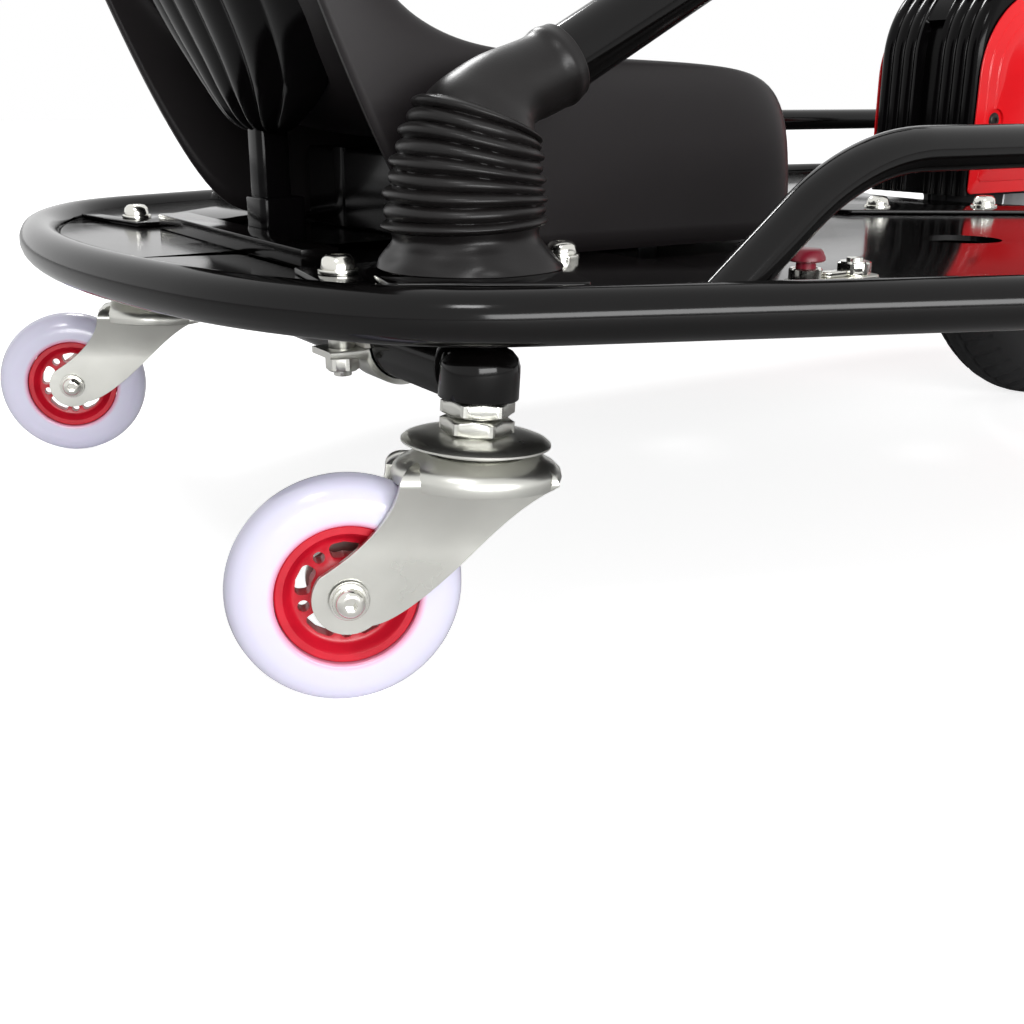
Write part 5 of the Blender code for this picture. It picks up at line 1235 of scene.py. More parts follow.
@dataclass
class DriftLever:
    """The cross axle, its lever with the grip, the rubber boot, and what holds the axle."""

    axle_radius: float = 16.7
    bar_radius: float = 14.3
    root_angle: float = 72.0
    bar_angle: float = 28.5
    line_z: float = 216.8
    bar_end: float = 346.0
    grip_length: float = 120.0
    grip_radius: float = 17.4
    grip_pitch: float = 12.0
    boot_rise: float = 3.3
    strap_width: float = 20.0
    strap_split: float = 136.0

    def build(self) -> None:
        """Make the lever's pieces."""
        self.axle()
        self.bar()
        self.grip()
        self.boot()
        self.clamp()
        for side in Side:
            self.strap(side)

    def bar_at(self, along: float) -> np.ndarray:
        """A point on the lever's long run."""
        return np.array((along, -BAR_Y, self.line_z + math.tan(math.radians(self.bar_angle)) * along))

    def axle(self) -> None:
        """The tube across the kart with an upright socket at each end and a stop between them."""
        reach = STEM_Y - 8.0
        draft = Draft().rod((0, -reach, AXLE_Z), (0, reach, AXLE_Z), self.axle_radius, 0.6, 56)
        profile = ((0.0, 9.0), (9.5, 8.4), (13.0, 6.8), (15.4, 4.2), (16.4, 1.0), (16.5, -2.0), (16.5, -12.2),
                   (16.2, -12.6), (0.0, -12.6))
        lean = rotation("y", STEM_LEAN)
        for side in Side:
            draft.grid(turned(revolve(profile), lean, (0.0, side.value * STEM_Y, AXLE_Z)))
        draft.box((-30, -9, AXLE_Z + 6), (-6, 9, AXLE_Z + 15), 0.6, 1.0)
        draft.piece("drift_axle_tube", GLOSS_BLACK, "drift_lever", ("drift_axle",))

    def bar(self) -> None:
        """The lever's tube: up out of the axle, a bend, and the long run forward."""
        root, slope = math.tan(math.radians(self.root_angle)), math.tan(math.radians(self.bar_angle))
        start, corner = 4.6, (self.line_z - AXLE_Z) / (root - slope)
        corners = (
            (start, -BAR_Y, AXLE_Z + root * start),
            (corner, -BAR_Y, AXLE_Z + root * corner),
            self.bar_at(self.bar_end),
        )
        path = rounded(corners, (0.0, 60.0, 0.0), 20)
        tube = Draft().grid(sweep(path, self.bar_radius, LEFT, 56))
        tube.piece("lever_tube", GLOSS_BLACK, "drift_lever", ("drift_bar",))

    def grip(self) -> None:
        """The ribbed rubber grip, with a flange at its foot and a domed end.

        Its radius along it is that of the plain ends, with a flat topped wave between them, plus a
        flange that falls off with the fourth power, and at the end a quarter of an ellipse.
        """
        ribs_end, dome = 108.0, 114.0
        along = np.linspace(0.0, self.grip_length, 260)
        wave = 0.7 * np.clip(np.sin(along / self.grip_pitch * FULL_TURN) * 2.2, -1.0, 1.0) - 0.4
        flange = 2.6 * np.exp(-(((along - 3.5) / 2.6) ** 4))
        radius = self.grip_radius + np.where((along > 14.0) & (along < ribs_end), wave, 0.0) + flange
        end = 16.9 * np.sqrt(np.clip(1 - ((along - dome) / 6.1) ** 2, 0.0, 1.0)) + 0.4
        skin = np.column_stack([np.where(along > dome, end, radius), along])
        bore = ((14.6, 110.0), (14.6, 0.4), (14.7, 0.0), (17.0, 0.0))
        profile = np.vstack([bore, skin[1:], (0.0, self.grip_length + 0.4)])
        slope = math.radians(self.bar_angle)
        axis = np.array((math.cos(slope), 0.0, math.sin(slope)))
        foot = self.bar_at(self.bar_end + 3.0) - axis * self.grip_length
        grip = Draft().grid(revolve(profile, foot, axis, 56), caps=False)
        grip.piece("lever_grip", GRIP_RUBBER, "drift_lever", ("bar_grip",))

    def boot(self) -> None:
        """The rubber bellows: a skirt, ribs that fan out behind, a neck, and a cuff on the lever.

        Each section is a circle with its own centre, tilt and radius. The ribs are a rounded wave
        added to the radius, every second one lower, that sways a little round the boot; the
        skirt's folds are a wave round it that fades upwards.
        """
        # X, Z, tilt from level in degrees, and radius
        key = ((24.0, 171.3, 0.0, 40.5), (23.5, 174.5, 0.0, 38.4), (22.5, 179.0, -1.0, 34.6),
               (22.0, 184.0, -2.0, 31.6), (21.5, 190.0, -2.0, 32.6), (22.0, 200.0, 1.0, 32.2),
               (23.0, 210.0, 6.0, 30.6), (25.0, 220.0, 12.0, 28.6), (27.5, 229.0, 18.0, 26.2),
               (30.5, 235.0, 25.0, 23.6), (35.5, 239.6, 36.0, 20.4), (43.0, 243.8, 50.0, 18.2),
               (52.0, 246.8, 59.0, 17.3), (61.0, 250.2, 61.5, 16.9), (71.0, 255.4, 61.5, 16.6))
        count, ribs, first_row, rib_rows = 420, 9.0, 3.7, 4.85
        table = smooth_table(key, count)
        row = np.linspace(0.0, len(key) - 1.0, count)[:, None]
        turn = round_turn(96)[None, :]
        step = (row - first_row) / rib_rows
        sway = 0.16 * np.sin(turn + 5.0 * step) + 0.08 * np.sin(3 * turn + 9.0 * step)
        phase = np.clip(step * ribs + sway * np.sin(math.pi * np.clip(step, 0.0, 1.0)), 0.0, ribs)
        crest = self.boot_rise * np.abs(np.sin(phase * math.pi)) ** 0.7 * (1 - 0.32 * (np.floor(phase) % 2))
        wave = np.where((step > 0.0) & (step < 1.0), crest * (1 - 0.16 * np.cos(turn)), 0.0)
        cuff = 1.1 * np.exp(-(((row - 13.5) / 0.3) ** 2))
        fold = 1.3 * np.exp(-(((row - 1.6) / 1.3) ** 2)) * np.cos(turn * 7 + 0.6)
        slant = np.radians(table[:, 2])
        radius = table[:, 3:] + cuff + wave + fold
        forward = np.stack([np.cos(slant), np.zeros(count), -np.sin(slant)], axis=1)[:, None]
        centre = np.stack([table[:, 0], np.full(count, -BAR_Y), table[:, 1]], axis=1)[:, None]
        out = np.cos(turn)[..., None] * forward + np.sin(turn)[..., None] * LEFT
        boot = Draft().grid(centre + radius[..., None] * out, caps=False).piece(
            "lever_boot", RUBBER, None, ("bar_boot",), wall=1.8, angle=70.0)
        foot, cuff_end = in_frame(((22.0, -BAR_Y, 166.0), (24.0, -BAR_Y, 192.0)))
        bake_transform(boot)

    def clamp(self) -> None:
        """The plate that clamps the boot's foot."""
        corners = ((-30, -211), (40, -252), (54, -214), (50, -148), (-6, -148), (-20, -168))
        plate = Draft().grid(slab(rounded(corners, 5.0, 6, True), PLATE_TOP, 171.0, 0.9))
        holes = [Deck.lever_slot(), Deck.bore(STRAP_BOLT_X, -STRAP_Y, 9.6)]
        plate.piece("boot_clamp_pressed", GLOSS_BLACK, "chassis", ("boot_clamp_plate",), holes=holes)

    def strap(self, side: Side) -> None:
        """A steel strap under the axle, with its bolts, nuts and the bolt's head on the deck.

        Args:
            side: the side that it holds.
        """
        across, half, split = side.value * STRAP_Y, self.strap_width / 2, self.strap_split
        low, bore = split - 3.0, self.axle_radius + GAP
        turn = np.linspace(math.pi, FULL_TURN, 40)
        arc = np.stack([np.cos(turn), np.sin(turn)], axis=1)
        inner, outer = arc * bore + (0.0, AXLE_Z), arc * (bore + 3.0) + (0.0, AXLE_Z)
        inner[:, 1] = np.minimum(inner[:, 1], split)
        ends = ((-36.0, low), (bore + 13.0, low), (bore + 13.0, split), (-36.0, split))
        outline = np.vstack([ends[0], outer[outer[:, 1] < low], ends[1], ends[2], inner[::-1], ends[3]])
        draft = Draft().grid(upright(slab(outline, across - half, across + half, 0.5, 2)))
        for along, top in ((STRAP_BOLT_X, 169.0), (-STRAP_BOLT_X, 161.6)):
            draft.rod((along, across, split - 12.5), (along, across, top), 4.0)
            draft.rod((along, across, split - 1.0), (along, across, 161.6), 5.8)
            draft.nut((along, across, split - 10.2), 7.2, 7.5)
        name = f"axle_strap_{side.word}"
        draft.piece(name + "_formed", ZINC, "chassis", (name,))
        bolt = Draft().bolt((STRAP_BOLT_X, across, PLATE_TOP), 8.9, 8.2)
        bolt.piece(f"strap_bolt_{side.word}", BRIGHT_ZINC, "chassis")


@dataclass
class Caster:
    """One rear caster: the race on the stem, the swivel fork, and the clear wheel."""

    side: Side
    swing: float = 17.9
    trail: float = 52.1
    wheel_radius: float = 49.0
    core_radius: float = 29.5
    gap: float = 27.0
    wall: float = 3.0
    boss: float = 15.0
    socket_foot: float = 12.5
    nuts: float = 14.6
    race_height: float = 6.4

    def __post_init__(self) -> None:
        """Work out the swivel's rotation, how far down the wheel's centre lies, and the heights."""
        self.turn = rotation("y", STEM_LEAN) @ rotation("z", -self.swing)
        behind = self.trail * math.cos(math.radians(self.swing))
        lean = math.radians(STEM_LEAN)
        self.drop = (AXLE_Z + behind * math.sin(lean) - self.wheel_radius) / math.cos(lean)
        self.origin = np.array((0.0, self.side.value * STEM_Y, AXLE_Z))
        self.centre = np.array((-self.trail, 0.0, -self.drop))
        self.race_top = -self.socket_foot - GAP - self.nuts
        self.crown = self.race_top - self.race_height - GAP

    def place(self, points: np.ndarray) -> np.ndarray:
        """Points in the swivel's own frame, carried to the kart's."""
        return turned(points, self.turn, self.origin)

    def build(self) -> None:
        """Make the caster's pieces."""
        self.race()
        self.fork()
        self.bolt()
        self.core()
        self.tyre()

    def race(self) -> None:
        """The two nuts on the stem and the pressed race plate under them."""
        foot = self.race_top
        draft = Draft()
        nut = ((0.0, 6.9), (12.6, 6.9), (13.9, 6.5), (15.4, 5.7), (15.4, 1.2), (13.9, 0.4), (12.6, 0.0),
               (0.0, 0.0))
        flats = (0.0, 0.0, 0.55, 1.0, 1.0, 0.55, 0.0, 0.0)
        for low, degrees in ((foot, 12.0), (foot + 7.7, 26.0)):
            draft.grid(turned(revolve(nut, sides=96, flats=flats), rotation("z", degrees), (0, 0, low)))
        plate = ((0.0, 0.0), (16.0, 0.1), (22.0, -0.1), (27.0, -0.9), (29.6, -1.9), (30.8, -2.9),
                 (30.8, -3.7), (29.8, -4.0), (25.5, -3.7), (23.0, -4.6), (22.4, -6.3), (0.0, -6.3))
        draft.grid(revolve(plate, (0, 0, foot), sides=96)).carried(self.place)
        name = f"caster_race_{self.side.word}"
        draft.piece(name + "_pressed", ZINC, "drift_lever", (name,), angle=50.0)

    def outline(self, crown: float) -> tuple[np.ndarray, np.ndarray, np.ndarray]:
        """A leg's side view, from the boss's foot to the crown.

        Below the tangent points it is the boss's circle. Above them its rear edge is a hollow
        curve, 1 - (1 - s)^1.9 of the way to the crown's corner at a share s of the height, and
        its front edge bulges by a sine and flares by s^8.

        Args:
            crown: the height of the leg's top.

        Returns:
            Heights, rear X and front X.
        """
        turn = np.linspace(0.0, math.pi, 60)
        low = -self.drop - self.boss * np.cos(turn)
        high = np.linspace(low[-1], crown, 40)[1:]
        height = np.concatenate([low, high])
        offset = np.sqrt(np.clip(self.boss**2 - (height + self.drop) ** 2, 0.0, None))
        edges = []
        for sign, corner in ((-1, -34.0), (1, 25.0)):
            reach = np.array((corner + self.trail, crown + self.drop))
            angle = math.atan2(reach[1], reach[0]) - sign * math.acos(self.boss / np.linalg.norm(reach))
            touch = self.boss * np.array((math.cos(angle), math.sin(angle)))
            share = np.clip((height + self.drop - touch[1]) / (reach[1] - touch[1]), 0.0, 1.0)
            if sign < 0:
                run, swell = 1 - (1 - share) ** 1.9, 0.0
            else:
                run, swell = share, 7.5 * np.sin(math.pi * share**0.5) + 6.0 * share**8
            line = touch[0] + run * (reach[0] - touch[0]) + swell
            edges.append(np.where(height + self.drop < touch[1], sign * offset, line) - self.trail)
        return height, edges[0], edges[1]

    def fork(self) -> None:
        """The pressed fork: one sheet from a boss, up a leg, over the crown and down the other leg.

        Each row of the sheet runs from its rear to its front edge. The rows follow one leg, which
        spreads with the square of the height over the wheel, a quarter turn, and half the crown.
        """
        crown, bend, flat_rows = self.crown, 11.0, 5
        height, rear, front = self.outline(crown - bend)
        over = np.linspace(0.0, math.pi / 2, 14)[1:]
        spread = 5.5 * np.clip((height + self.drop - 20.0) / 30.0, 0.0, 1.0) ** 2
        leg_y = self.gap / 2 + self.wall / 2 + spread
        arc_y = leg_y[-1] - bend * (1 - np.cos(over))
        arc_z = crown - bend + (bend - self.wall) * np.sin(over)
        flat_y = np.linspace(arc_y[-1], 0.0, flat_rows + 1)[1:]
        y = np.concatenate([leg_y, arc_y, flat_y])[:, None]
        z = np.concatenate([height, arc_z, np.full(flat_rows, arc_z[-1])])[:, None]
        narrow = np.concatenate([np.zeros(len(height)), 1 - np.cos(over), np.ones(flat_rows)])
        past = (0, len(over) + flat_rows)
        rear_x = (np.pad(rear, past, mode="edge") + 9.0 * narrow)[:, None]
        front_x = (np.pad(front, past, mode="edge") - 10.0 * narrow)[:, None]
        share = (1 - np.cos(np.linspace(0.0, math.pi, 33))) / 2
        x = rear_x + (front_x - rear_x) * share
        sheet = np.stack([x, np.broadcast_to(y, x.shape), np.broadcast_to(z, x.shape)], axis=-1)
        whole = np.vstack([sheet, mirrored(sheet)[::-1][1:]])
        name = f"caster_fork_{self.side.word}"
        body = f"caster_{self.side.word}"
        draft = Draft().grid(self.place(whole), wrap=False)
        draft.piece(name + "_pressed", ZINC, body, (name,), wall=self.wall, angle=60.0)
        ring = ((0.0, 0.0), (23.0, 0.0), (25.6, -0.8), (27.4, -2.4), (31.5, -4.6), (34.0, -7.0),
                (34.8, -10.0), (34.0, -13.2), (31.0, -14.0), (0.0, -14.0))
        skirt = revolve(ring, (0.0, 0.0, crown), sides=96) * np.array((1.02, 0.86, 1.0)) + AHEAD
        Draft().grid(self.place(skirt)).piece(f"fork_crown_{self.side.word}", ZINC, body, angle=60.0)

    def bolt(self) -> None:
        """The axle bolt: a domed six sided head on one face, a nut on the other."""
        centre, face, plate = self.centre, self.gap / 2 + self.wall, 1.0
        draft = Draft()
        for outward in (-LEFT, LEFT):
            draft.washer(centre + outward * face, 8.2, plate, outward)
        draft.bolt(centre - LEFT * (face + plate), 7.2, 5.2, -LEFT)
        draft.nut(centre + LEFT * (face + plate), 5.6, 7.4, LEFT)
        draft.rod(centre - LEFT * face, centre + LEFT * (face + 9.0), 4.0)
        name = f"caster_bolt_{self.side.word}"
        draft.carried(self.place).piece(name + "_turned", BRIGHT_ZINC, f"caster_{self.side.word}", (name,))

    def core(self) -> None:
        """The moulded core: rim, web with five slots and five round holes, and a bearing hub."""
        centre, rim = self.centre, self.core_radius
        half = ((4.3, 10.2), (10.6, 10.2), (11.6, 9.4), (11.8, 5.0), (13.0, 4.2), (rim - 7.6, 4.2),
                (rim - 6.2, 5.0), (rim - 4.4, 8.6), (rim - 3.4, 9.6), (rim - 0.6, 9.6), (rim, 9.0))
        body = Draft().grid(self.place(revolve(both_halves(half, False), centre, LEFT, 120)), loop=True)
        holes, through, spread = [], 9.0, 0.36
        for angle in np.radians(20.0 + 72.0 * np.arange(5)):
            turn = angle + np.array((-spread, spread / 15, spread))
            back = angle + np.array((spread, spread / 15, -spread))
            corners = np.vstack([21.2 * np.stack([np.cos(turn), np.sin(turn)], axis=1),
                                 14.6 * np.stack([np.cos(back), np.sin(back)], axis=1)])
            slot = rounded(corners, (2.4, 0.1, 2.4, 2.4, 0.1, 2.4), 5, True)
            holes.append(Draft().grid(self.place(upright(slab(slot, -through, through, 0.05)) + centre)))
            between = angle + math.radians(36.0)
            middle = centre + 18.2 * np.array((math.cos(between), 0.0, math.sin(between)))
            holes.append(plug(2.5, -through, through, middle, LEFT, 24).carried(self.place))
        name = f"caster_core_{self.side.word}"
        wheel = f"caster_wheel_{self.side.word}"
        body.piece(name + "_moulded", RED_CORE, wheel, (name,), holes=holes)
        bearing = ((4.4, 10.6), (9.6, 10.6), (9.8, 10.0), (9.8, -10.0), (9.6, -10.6), (4.4, -10.6))
        race = Draft().grid(self.place(revolve(bearing, centre, LEFT, 64)), loop=True)
        race.piece(f"caster_bearing_{self.side.word}", STEEL, wheel)

    def tyre(self) -> None:
        """The clear tyre: a crowned ring that thins towards its seat on the core."""
        half, crown, bore = 12.0, self.wheel_radius, self.core_radius + GAP
        rows = ((bore, half - 0.9), (bore + 1.4, half), (bore + 6.5, half), (bore + 11.0, half - 0.9),
                (bore + 15.4, half - 3.6), (crown - 1.2, half - 7.2), (crown, 0.0))
        side = smooth_table(rows, 40)
        tyre = Draft().grid(revolve(both_halves(side), self.centre, LEFT, 160), loop=True)
        middle = self.place(self.centre)
        across = self.turn @ LEFT

        def depth(points: np.ndarray) -> np.ndarray:
            """How far out from the core points lie.

            Args:
                points: places in the kart's millimetres.

            Returns:
                0 at the core and 1 at the tread.
            """
            out = points - middle
            out = out - (out @ across)[:, None] * across
            return (np.linalg.norm(out, axis=1) - bore) / (crown - bore)

        name = f"caster_tyre_{self.side.word}"
        body = f"caster_wheel_{self.side.word}"
        tyre.carried(self.place).piece(name + "_cast", CLEAR_TYRE, body, (name,), tone=depth)


@dataclass
class DriveUnit:
    """What the column turns: the ribbed cover with its red panels, the fork, the motor and its tyre."""

    along: float = DRIVE_X
    wheel_radius: float = 159.0
    half_length: float = 184.0
    half_width: float = 45.0
    low: float = 173.0
    top: float = 330.3
    bend: float = 63.0
    taper: float = 2.0
    corner: float = 7.0
    rib: float = 2.4
    recess: float = 8.0
    recess_half: float = 8.5
    recess_low: float = 205.0
    recess_high: float = 292.0
    body: str = "drive_unit"

    def build(self) -> None:
        """Make the unit's pieces."""
        self.cover()
        for side in Side:
            self.panel(side)
        self.fork()
        self.motor()
        self.shaft()
        self.tyre()

    def moved(self, points: np.ndarray) -> np.ndarray:
        """Points measured from the wheel's middle line, carried to the kart's frame."""
        return points + np.array((self.along, 0.0, 0.0))

    def shell(self, inside: bool) -> np.ndarray:
        """The cover's outer or inner surface as rings from its foot to its top.

        Each ring is a rounded rectangle. Round the top bend its half length shrinks by the radius
        times (1 - cos t) while it rises by the radius times sin t. The outer ends are drawn in by
        ribs, depth times (1 - the root of |cos|), and by the recess between its heights.

        Args:
            inside: whether the plain inner surface is wanted.

        Returns:
            Levels by points by three.
        """
        depth, wall = (self.recess + 3.0, 3.0) if inside else (0.0, 0.0)
        radius = self.bend - depth
        start = self.top - wall - radius
        turn = np.linspace(0.0, math.pi / 2, 34)
        foot = self.low - 8.0 if inside else self.low
        straight = np.concatenate([np.linspace(foot, self.recess_low - 0.6, 4),
                                   np.linspace(self.recess_low + 0.6, start, 8)[:-1]])
        height = np.concatenate([straight, start + radius * np.sin(turn)])[:, None]
        turn = np.concatenate([np.zeros(len(straight)), turn])[:, None]
        length = self.half_length - depth - radius * (1 - np.cos(turn))
        width = self.half_width - wall - self.taper * (1 - np.cos(turn))
        flat = width - self.corner
        across = np.linspace(-1.0, 1.0, 171)[None, :] * flat
        past = np.maximum(np.abs(across) - self.recess_half, 0.0)
        ribs = self.rib * (1 - np.sqrt(np.abs(np.cos(past / (flat - self.recess_half) * 3 * math.pi))))
        inner = np.clip((self.recess_half + 0.4 - np.abs(across)) / 0.8, 0.0, 1.0)
        reach = np.clip((height - self.recess_low) / 0.6 + 0.5, 0.0, 1.0)
        reach = reach * np.clip((self.recess_high - height) / 2.0, 0.0, 1.0)
        pull = np.where(inner > 0, inner * (1.0 + (self.recess - 1.0) * reach), ribs)
        end_x = np.broadcast_to(length, across.shape) - (0.0 if inside else pull)
        angle = np.linspace(0.0, math.pi / 2, 10)[None, 1:]
        front_x, front_y = length - self.corner * (1 - np.cos(angle)), flat + self.corner * np.sin(angle)
        rear_x, rear_y = -front_x[:, ::-1], front_y[:, ::-1]
        x = np.concatenate([end_x, front_x, rear_x], axis=1)
        y = np.concatenate([across, front_y, rear_y], axis=1)
        x, y = np.concatenate([x, -x], axis=1), np.concatenate([y, -y], axis=1)
        return self.moved(np.stack([x, y, np.broadcast_to(height, x.shape)], axis=-1))

    def cover(self) -> None:
        """The black ribbed shell, hollow and open below, with the stem's hole and a latch in its recess."""
        holes = [Draft().grid(self.shell(True)), plug(14.0, 300.0, 345.0, (self.along, 0.0, 0.0))]
        shell = Draft().grid(self.shell(False))
        shell.piece(
            "wheel_cover_moulded", BLACK_PLASTIC, self.body, ("wheel_cover",), holes=holes, angle=50.0)
        latch = Draft()
        for sign in (1, -1):
            x = self.along + sign * (self.half_length - 4.5)
            latch.box((x - 3.0, -5.0, 207.0), (x + 3.0, 5.0, 220.0), 0.8, 1.0)
        latch.piece("cover_latches", BLACK_PLASTIC, self.body)

    def panel_ring(self, inset: float, out: float) -> np.ndarray:
        """The side panel's outline, moved inwards and out from the cover.

        Args:
            inset: how far inwards.
            out: how far from the cover's middle plane.

        Returns:
            One ring of points about the wheel's middle line.
        """
        length, low, high = self.half_length - 3.0 - inset, self.low + 1.5 + inset, self.top - 18.0 - inset
        bend = self.bend - 5.0 - inset
        outline = rectangle((-length, low), (length, high), (3.5, 3.5, bend, bend), 18)
        return np.stack([outline[:, 0], np.full(len(outline), out), outline[:, 1]], axis=1)

    def panel(self, side: Side) -> None:
        """One red panel: three steps with soft edges, and a screw in a round recess near each end.

        Args:
            side: the side that it covers.
        """
        rings = [(0.6, 0.0), (0.0, 0.5)]
        for step, rise in enumerate((1.6, 2.4, 3.2)):
            inset = 8.5 * step
            rings += [(inset, rise - 0.5), (inset + 0.15, rise - 0.2), (inset + 0.5, rise)]
            rings.append((inset + 7.9, rise))
        near = self.half_width + GAP
        sheet = side.carry(np.stack([self.panel_ring(inset, near + out) for inset, out in rings]))
        holes, screws, outward = [], Draft(), LEFT * side.value
        for along in (-162.0, 162.0):
            seat = np.array((self.along + along, side.value * (near + 1.4), 225.0))
            holes.append(plug(8.0, 0.0, 6.0, seat, outward, 64))
            screws.bolt(seat, 5.4, 1.5, outward)
        name = f"cover_panel_{side.word}"
        panel = Draft().grid(self.moved(sheet))
        panel.piece(name + "_moulded", RED_PANEL, self.body, (name,), holes=holes, angle=50.0)
        screws.piece(f"panel_screws_{side.word}", DARK_STEEL, self.body)

    def fork(self) -> None:
        """The fork's two legs with their round dropouts, its crown, the stem and the lower yoke."""
        x, z = self.along, self.wheel_radius
        arc = np.linspace(math.pi, FULL_TURN, 40)
        foot = np.stack([20.0 * np.cos(arc), z + 20.0 * np.sin(arc)], axis=1)
        leg = upright(slab(np.vstack([foot, [(20.0, 321.6), (-20.0, 321.6)]]), 32.5, 37.0, 0.8))
        for side in Side:
            blade = Draft().grid(self.moved(side.carry(leg)))
            hole = plug(6.3, -60.0, 60.0, (x, 0.0, z), LEFT)
            blade.piece(f"fork_leg_{side.word}", GLOSS_BLACK, self.body, holes=[hole])
        draft = Draft().box((x - 24, -37, 320.9), (x + 24, 37, 326.7), 1.0, 3.0)
        draft.rod((x, 0, 322.0), (x, 0, 375.0), 12.5)
        collar = ((0.0, 373.0), (13.6, 373.0), (14.0, 373.4), (14.0, 375.6), (13.6, 376.0), (0.0, 376.0))
        draft.grid(revolve(collar, (x, 0.0, 0.0)))
        draft.yoke(np.eye(3), (x, 0.0, JOINT_Z), LEFT, -UP)
        draft.piece("drive_fork_crown", GLOSS_BLACK, self.body, ("drive_fork",))
        ball = np.linspace(math.radians(22.0), math.radians(158.0), 24)
        middle = np.stack([8.0 * np.sin(ball), -8.0 * np.cos(ball)], axis=1)
        pin = np.array(((0.0, -15.0), (2.6, -15.0), (3.0, -14.6)))
        profile = np.vstack([pin, middle, (pin * (1.0, -1.0))[::-1]])
        cross = Draft().grid(revolve(profile, (x, 0.0, JOINT_Z), LEFT, 40))
        cross.piece("joint_cross_turned", STEEL, self.body, ("joint_cross",))

    def motor(self) -> None:
        """The hub motor with its side covers, their bolts, and the rim round it."""
        centre = (self.along, 0.0, self.wheel_radius)
        half = ((6.3, 31.0), (16.5, 31.0), (17.7, 30.6), (18.4, 29.6), (19.0, 29.0), (40.0, 27.2),
                (60.0, 24.7), (63.0, 23.9), (65.0, 22.6), (70.0, 19.0), (80.0, 16.4), (88.0, 16.2),
                (94.0, 17.2), (103.0, 20.2), (106.2, 21.0), (107.0, 20.4), (106.4, 19.2), (101.6, 16.8),
                (101.0, 15.4))
        motor = Draft().grid(revolve(both_halves(half, False), centre, LEFT, 144), loop=True)
        motor.piece("hub_motor_cast", ALUMINIUM, "drive_wheel", ("hub_motor",), angle=32.0)
        bolts, ring = Draft(), 54.0
        for side in Side:
            for turn in round_turn(10):
                out = np.array((ring * math.cos(turn), side.value * 25.2, ring * math.sin(turn)))
                bolts.bolt(out + centre, 4.0, 2.8, LEFT * side.value)
        bolts.piece("motor_bolts", BRIGHT_ZINC, "drive_wheel")

    def shaft(self) -> None:
        """The fixed shaft with a washer and a nut outside each leg."""
        x, z, plate = self.along, self.wheel_radius, 1.2
        draft = Draft().rod((x, -45.6, z), (x, 45.6, z), 6.0, 0.8)
        for side in Side:
            outward = LEFT * side.value
            seat = np.array((x, side.value * 37.3, z))
            draft.washer(seat, 10.0, plate, outward).nut(seat + outward * plate, 4.4, 9.4, outward)
        draft.piece("motor_shaft_turned", STEEL, self.body, ("motor_shaft",))

    def tyre(self) -> None:
        """The air tyre: a smooth section with tread blocks cut by grooves round it and across it.

        The radius at a place is the section's, less a groove's depth; grooves across lie where a
        cosine of the angle, shifted by how far out the place is, passes a limit.
        """
        rows = ((101.4, 15.6), (104.0, 18.4), (107.3, 20.6), (112.5, 24.2), (118.3, 26.9), (129.3, 28.3),
                (138.0, 27.2), (145.0, 24.0), (151.0, 19.0), (155.6, 12.4), (158.2, 6.0), (158.8, 0.0))
        groove, line, blocks = 2.2, 7.0, 54
        profile = both_halves(smooth_table(rows, 46))
        radius, out = profile[:, :1], profile[:, 1:]
        turn = round_turn(432)[None, :]
        tread = np.clip((radius - 143.0) / 3.0, 0.0, 1.0)
        lines = np.clip(1.6 - np.abs(np.abs(out) - line), 0.0, 1.0)
        slots = np.clip((np.cos(turn * blocks + np.sign(out) * 0.9 + out * 0.08) - 0.62) / 0.2, 0.0, 1.0)
        slots = slots * np.clip(np.abs(out) - line, 0.0, 1.0)
        reach = radius - groove * tread * np.maximum(lines, slots)
        ring = np.stack([np.cos(turn), np.zeros_like(turn), np.sin(turn)], axis=-1)
        points = reach[..., None] * ring + out[..., None] * LEFT + (self.along, 0.0, self.wheel_radius)
        tyre = Draft().grid(points, loop=True)
        tyre.piece("drive_tyre_moulded", TYRE_RUBBER, "drive_wheel", ("drive_tyre",), angle=50.0)


